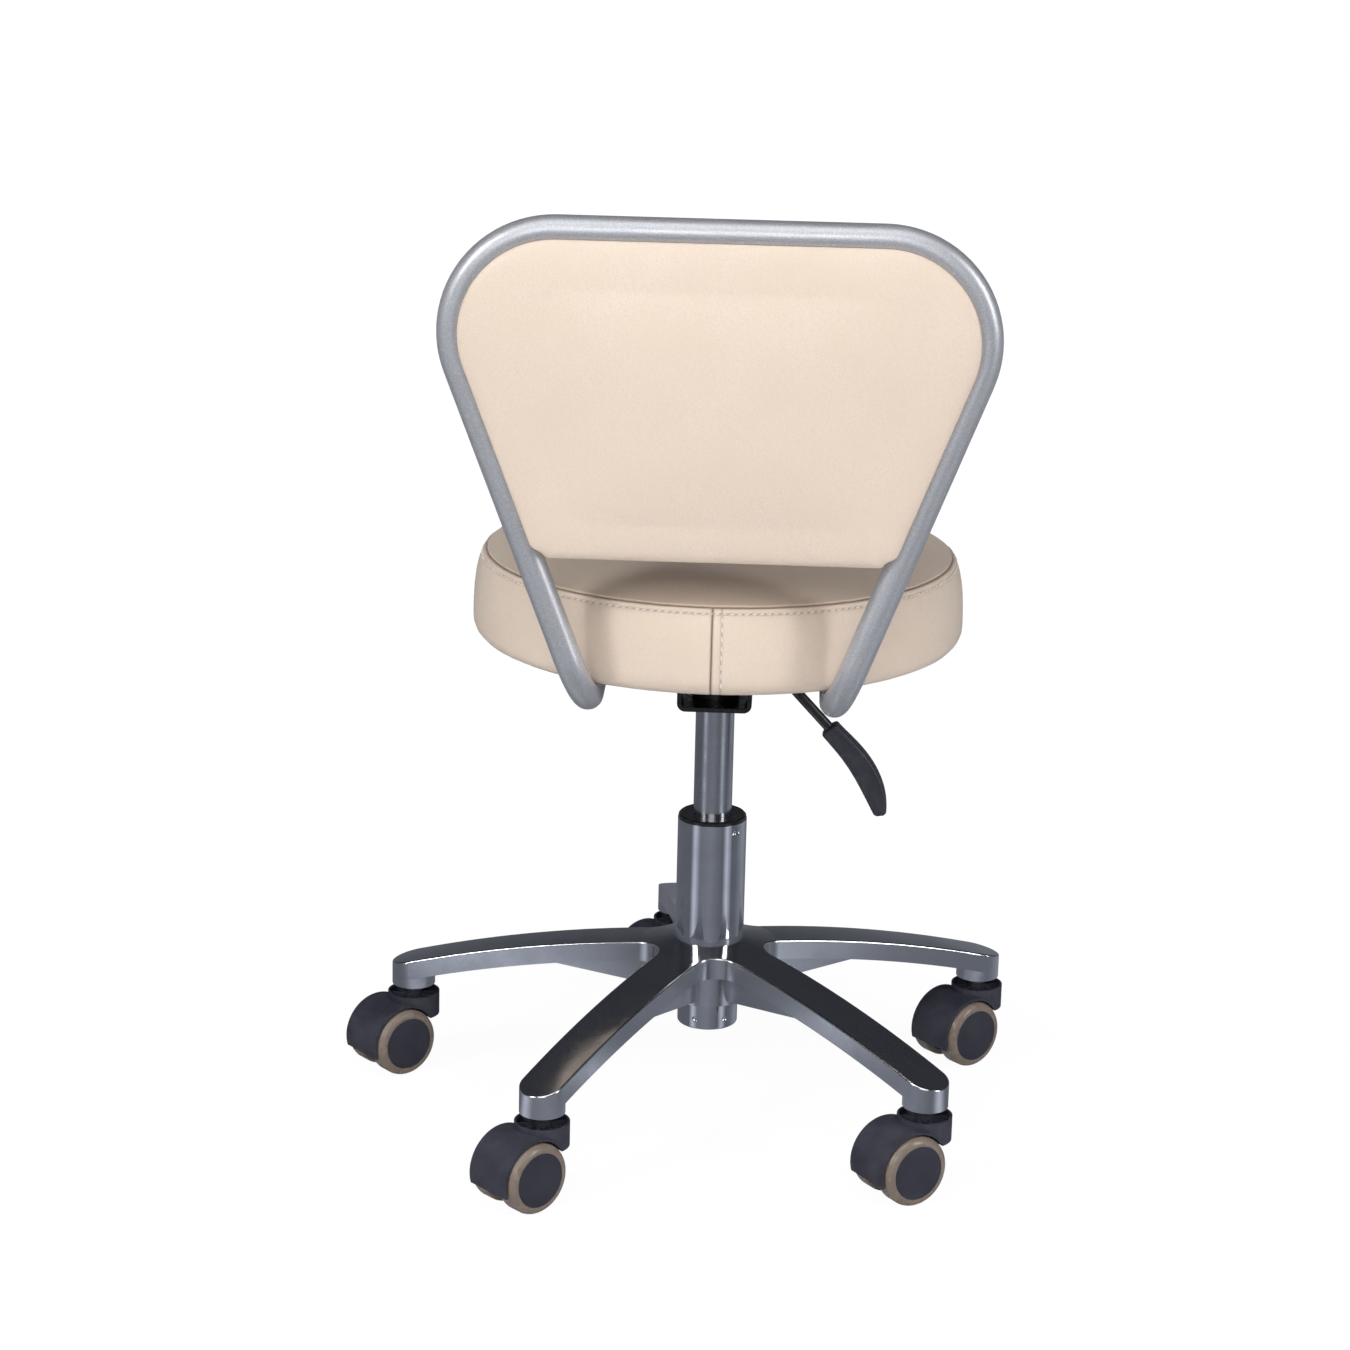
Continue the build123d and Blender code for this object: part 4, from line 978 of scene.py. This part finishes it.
# %% Staples along the hem
staple_ring, staple_count = hem + 5 * mm, 56
spin = np.linspace(0, 2 * np.pi, staple_count, endpoint=False)[:, None, None]
wire, crown_half = 0.45 * mm, 5 * mm
bar = np.linspace(-1, 1, 5)[None, :]
square = ((-1, -1), (1, -1), (1, 1), (-1, 1))
profile = np.array(square)[:, :, None] * wire / 2
out_from, beside = staple_ring + profile[:, 0] + 0 * bar, bar * crown_half
level_at = seat_bottom - 0.2 * mm + profile[:, 1] + 0.35 * mm * bar**4
turned = np.stack(np.broadcast_arrays(
    out_from * np.cos(spin) - beside * np.sin(spin),
    out_from * np.sin(spin) + beside * np.cos(spin),
    level_at,
), -1)
faces = repeated(closed_tube(len(profile), bar.size), len(profile) * bar.size, staple_count)
piece("hem_staples", turned, faces, zinc, "seat", smooth=False)

# %% [markdown]
# ## Floor, light and camera
# The stool stands on a plain pale floor in a studio. Polished metal shows its surroundings, so the
# floor and the world have two faces. The lens sees clean white, by Light Path's Is Camera Ray: the
# floor glows there, a little less under the stool, which leaves a faint shadow. Reflections see a
# darker room, and by Is Glossy Ray a floor of dark and bright sectors, which draw upright streaks
# on the column. Soft lamps at both sides, above and behind the camera do the lighting.

# %% Floor
floor_material, tree, shader, place = start("studio floor", (0.92, 0.92, 0.92), 0.75)
paper = use(tree, moulded, Vector=place, Scale=260.0)
colours(tree, shader, paper["Height"], (0.90, 0.90, 0.90), (0.94, 0.94, 0.94))
bump(tree, shader, paper["Height"], 0.00008)

def shaders_mixed(tree, share, first, second):
    """The shader that goes from the first to the second as a share rises."""
    return node(tree, "MixShader", None, a=share, b=first.outputs[0], c=second.outputs[0])


ray = node(tree, "LightPath").outputs
far_away = node(tree, "VectorMath", {"operation": "LENGTH"}, a=place).outputs["Value"]
whiteness = spread(tree, far_away, 0.2, 0.8, 0.92, 1.0)
glow = node(tree, "Emission", None, Strength=1.04)
lens_share = maths(tree, "MULTIPLY", whiteness, ray["Is Camera Ray"])
fade = shaders_mixed(tree, lens_share, shader, glow)
MIRRORED = (
    (0.10, 0.30), (0.20, 0.15), (0.56, 0.14), (0.60, 0.62), (0.65, 0.20), (0.75, 0.24),
    (0.86, 0.14), (0.90, 0.60), (0.95, 0.14),
)
round_the_room = node(tree, "TexGradient", {"gradient_type": "RADIAL"}, Vector=place)
streaks = node(tree, "ValToRGB", None, Fac=round_the_room.outputs["Fac"])
sectors = streaks.color_ramp.elements
sectors[0].color = sectors[1].color = (0.14, 0.15, 0.18, 1)
for turned_by, tone in MIRRORED:
    sectors.new(turned_by).color = (tone * 0.95, tone, tone * 1.17, 1)
mirrored_floor = node(tree, "Emission", None, Color=streaks.outputs["Color"])
in_mirrors = shaders_mixed(tree, ray["Is Glossy Ray"], fade, mirrored_floor)
tree.links.new(in_mirrors.outputs[0], tree.nodes["Material Output"].inputs["Surface"])
mesh = bpy.data.meshes.new("floor")
room_half = 6
mesh.from_pydata([(x * room_half, y * room_half, 0) for x, y in square], [], [(0, 1, 2, 3)])
mesh.materials.append(floor_material)
floor = bpy.data.objects.new("floor", mesh)
scene.collection.objects.link(floor)

# %% World and lamps
world = bpy.data.worlds.new("studio")
scene.world = world
world.use_nodes = True
tree = world.node_tree
tree.nodes.clear()
seen = node(tree, "Background", None, Color=(1, 1, 1, 1), Strength=1.0)
sky = node(tree, "SeparateXYZ", None, Vector=node(tree, "TexCoord").outputs["Generated"])
ramp = node(tree, "ValToRGB", None, Fac=spread(tree, sky.outputs["Z"], -1.0, 1.0))
stops = ramp.color_ramp.elements
stops[0].position, stops[0].color = 0.42, (0.42, 0.43, 0.45, 1)
stops[1].position, stops[1].color = 0.72, (0.035, 0.037, 0.044, 1)
stops.new(0.50).color = (0.20, 0.207, 0.235, 1)
stops.new(0.58).color = (0.10, 0.104, 0.120, 1)
room = node(tree, "Background", None, Color=ramp.outputs["Color"], Strength=1.0)
choice = shaders_mixed(tree, node(tree, "LightPath").outputs["Is Camera Ray"], room, seen)
tree.links.new(choice.outputs[0], node(tree, "OutputWorld").inputs["Surface"])


def lamp(name, place, size, watts, mirrored=True, target=(0.0, 0.0, 0.38)):
    """A rectangular soft lamp facing the stool, hidden from the lens; mirrored=False also hides it
    from reflections, so that it only lights."""
    data = bpy.data.lights.new(name, "AREA")
    data.shape, data.size, data.size_y, data.energy = "RECTANGLE", *size, watts
    made = bpy.data.objects.new(name, data)
    made.location = place
    made.rotation_mode = "QUATERNION"
    made.rotation_quaternion = (Vector(target) - Vector(place)).to_track_quat("-Z", "Y")
    made.visible_camera = False
    made.visible_glossy = mirrored
    scene.collection.objects.link(made)
    print(name, watts, "W")


lamp("key softbox", (1.9, 1.5, 1.7), (0.55, 1.5), 27)
lamp("side softbox", (-2.1, 1.0, 1.2), (0.4, 1.6), 19)
lamp("overhead softbox", (0.0, 1.0, 2.2), (2.0, 1.4), 16)
lamp("broad fill", (0.2, 2.9, 1.35), (1.6, 1.2), 24)
lamp("back light", (0.3, -2.2, 1.5), (1.4, 1.4), 2, mirrored=False)

# %% [markdown]
# The camera looks at the stool from behind, a little above the seat, through a long lens that
# keeps its lines nearly parallel. It is rolled by about a degree, as a hand-held camera is.

# %% Camera
camera_data = bpy.data.cameras.new("camera")
camera_data.sensor_width, camera_data.lens = 36.0, 92.5
camera = bpy.data.objects.new("camera", camera_data)
camera.location = (-0.0500, 2.3959, 0.9941)
pitch, roll_angle = math.radians(-15.71), math.radians(1.35)
swing = (0.0332, -0.9994)
look = Vector((swing[0] * math.cos(pitch), swing[1] * math.cos(pitch), math.sin(pitch)))
camera.rotation_mode = "QUATERNION"
camera.rotation_quaternion = look.to_track_quat("-Z", "Y") @ Quaternion((0, 0, 1), roll_angle)
scene.collection.objects.link(camera)
scene.camera = camera
scene.view_settings.view_transform = "Standard"

# %% [markdown]
# Last, the view layer is brought up to date.

# %% Finish
bpy.context.view_layer.update()
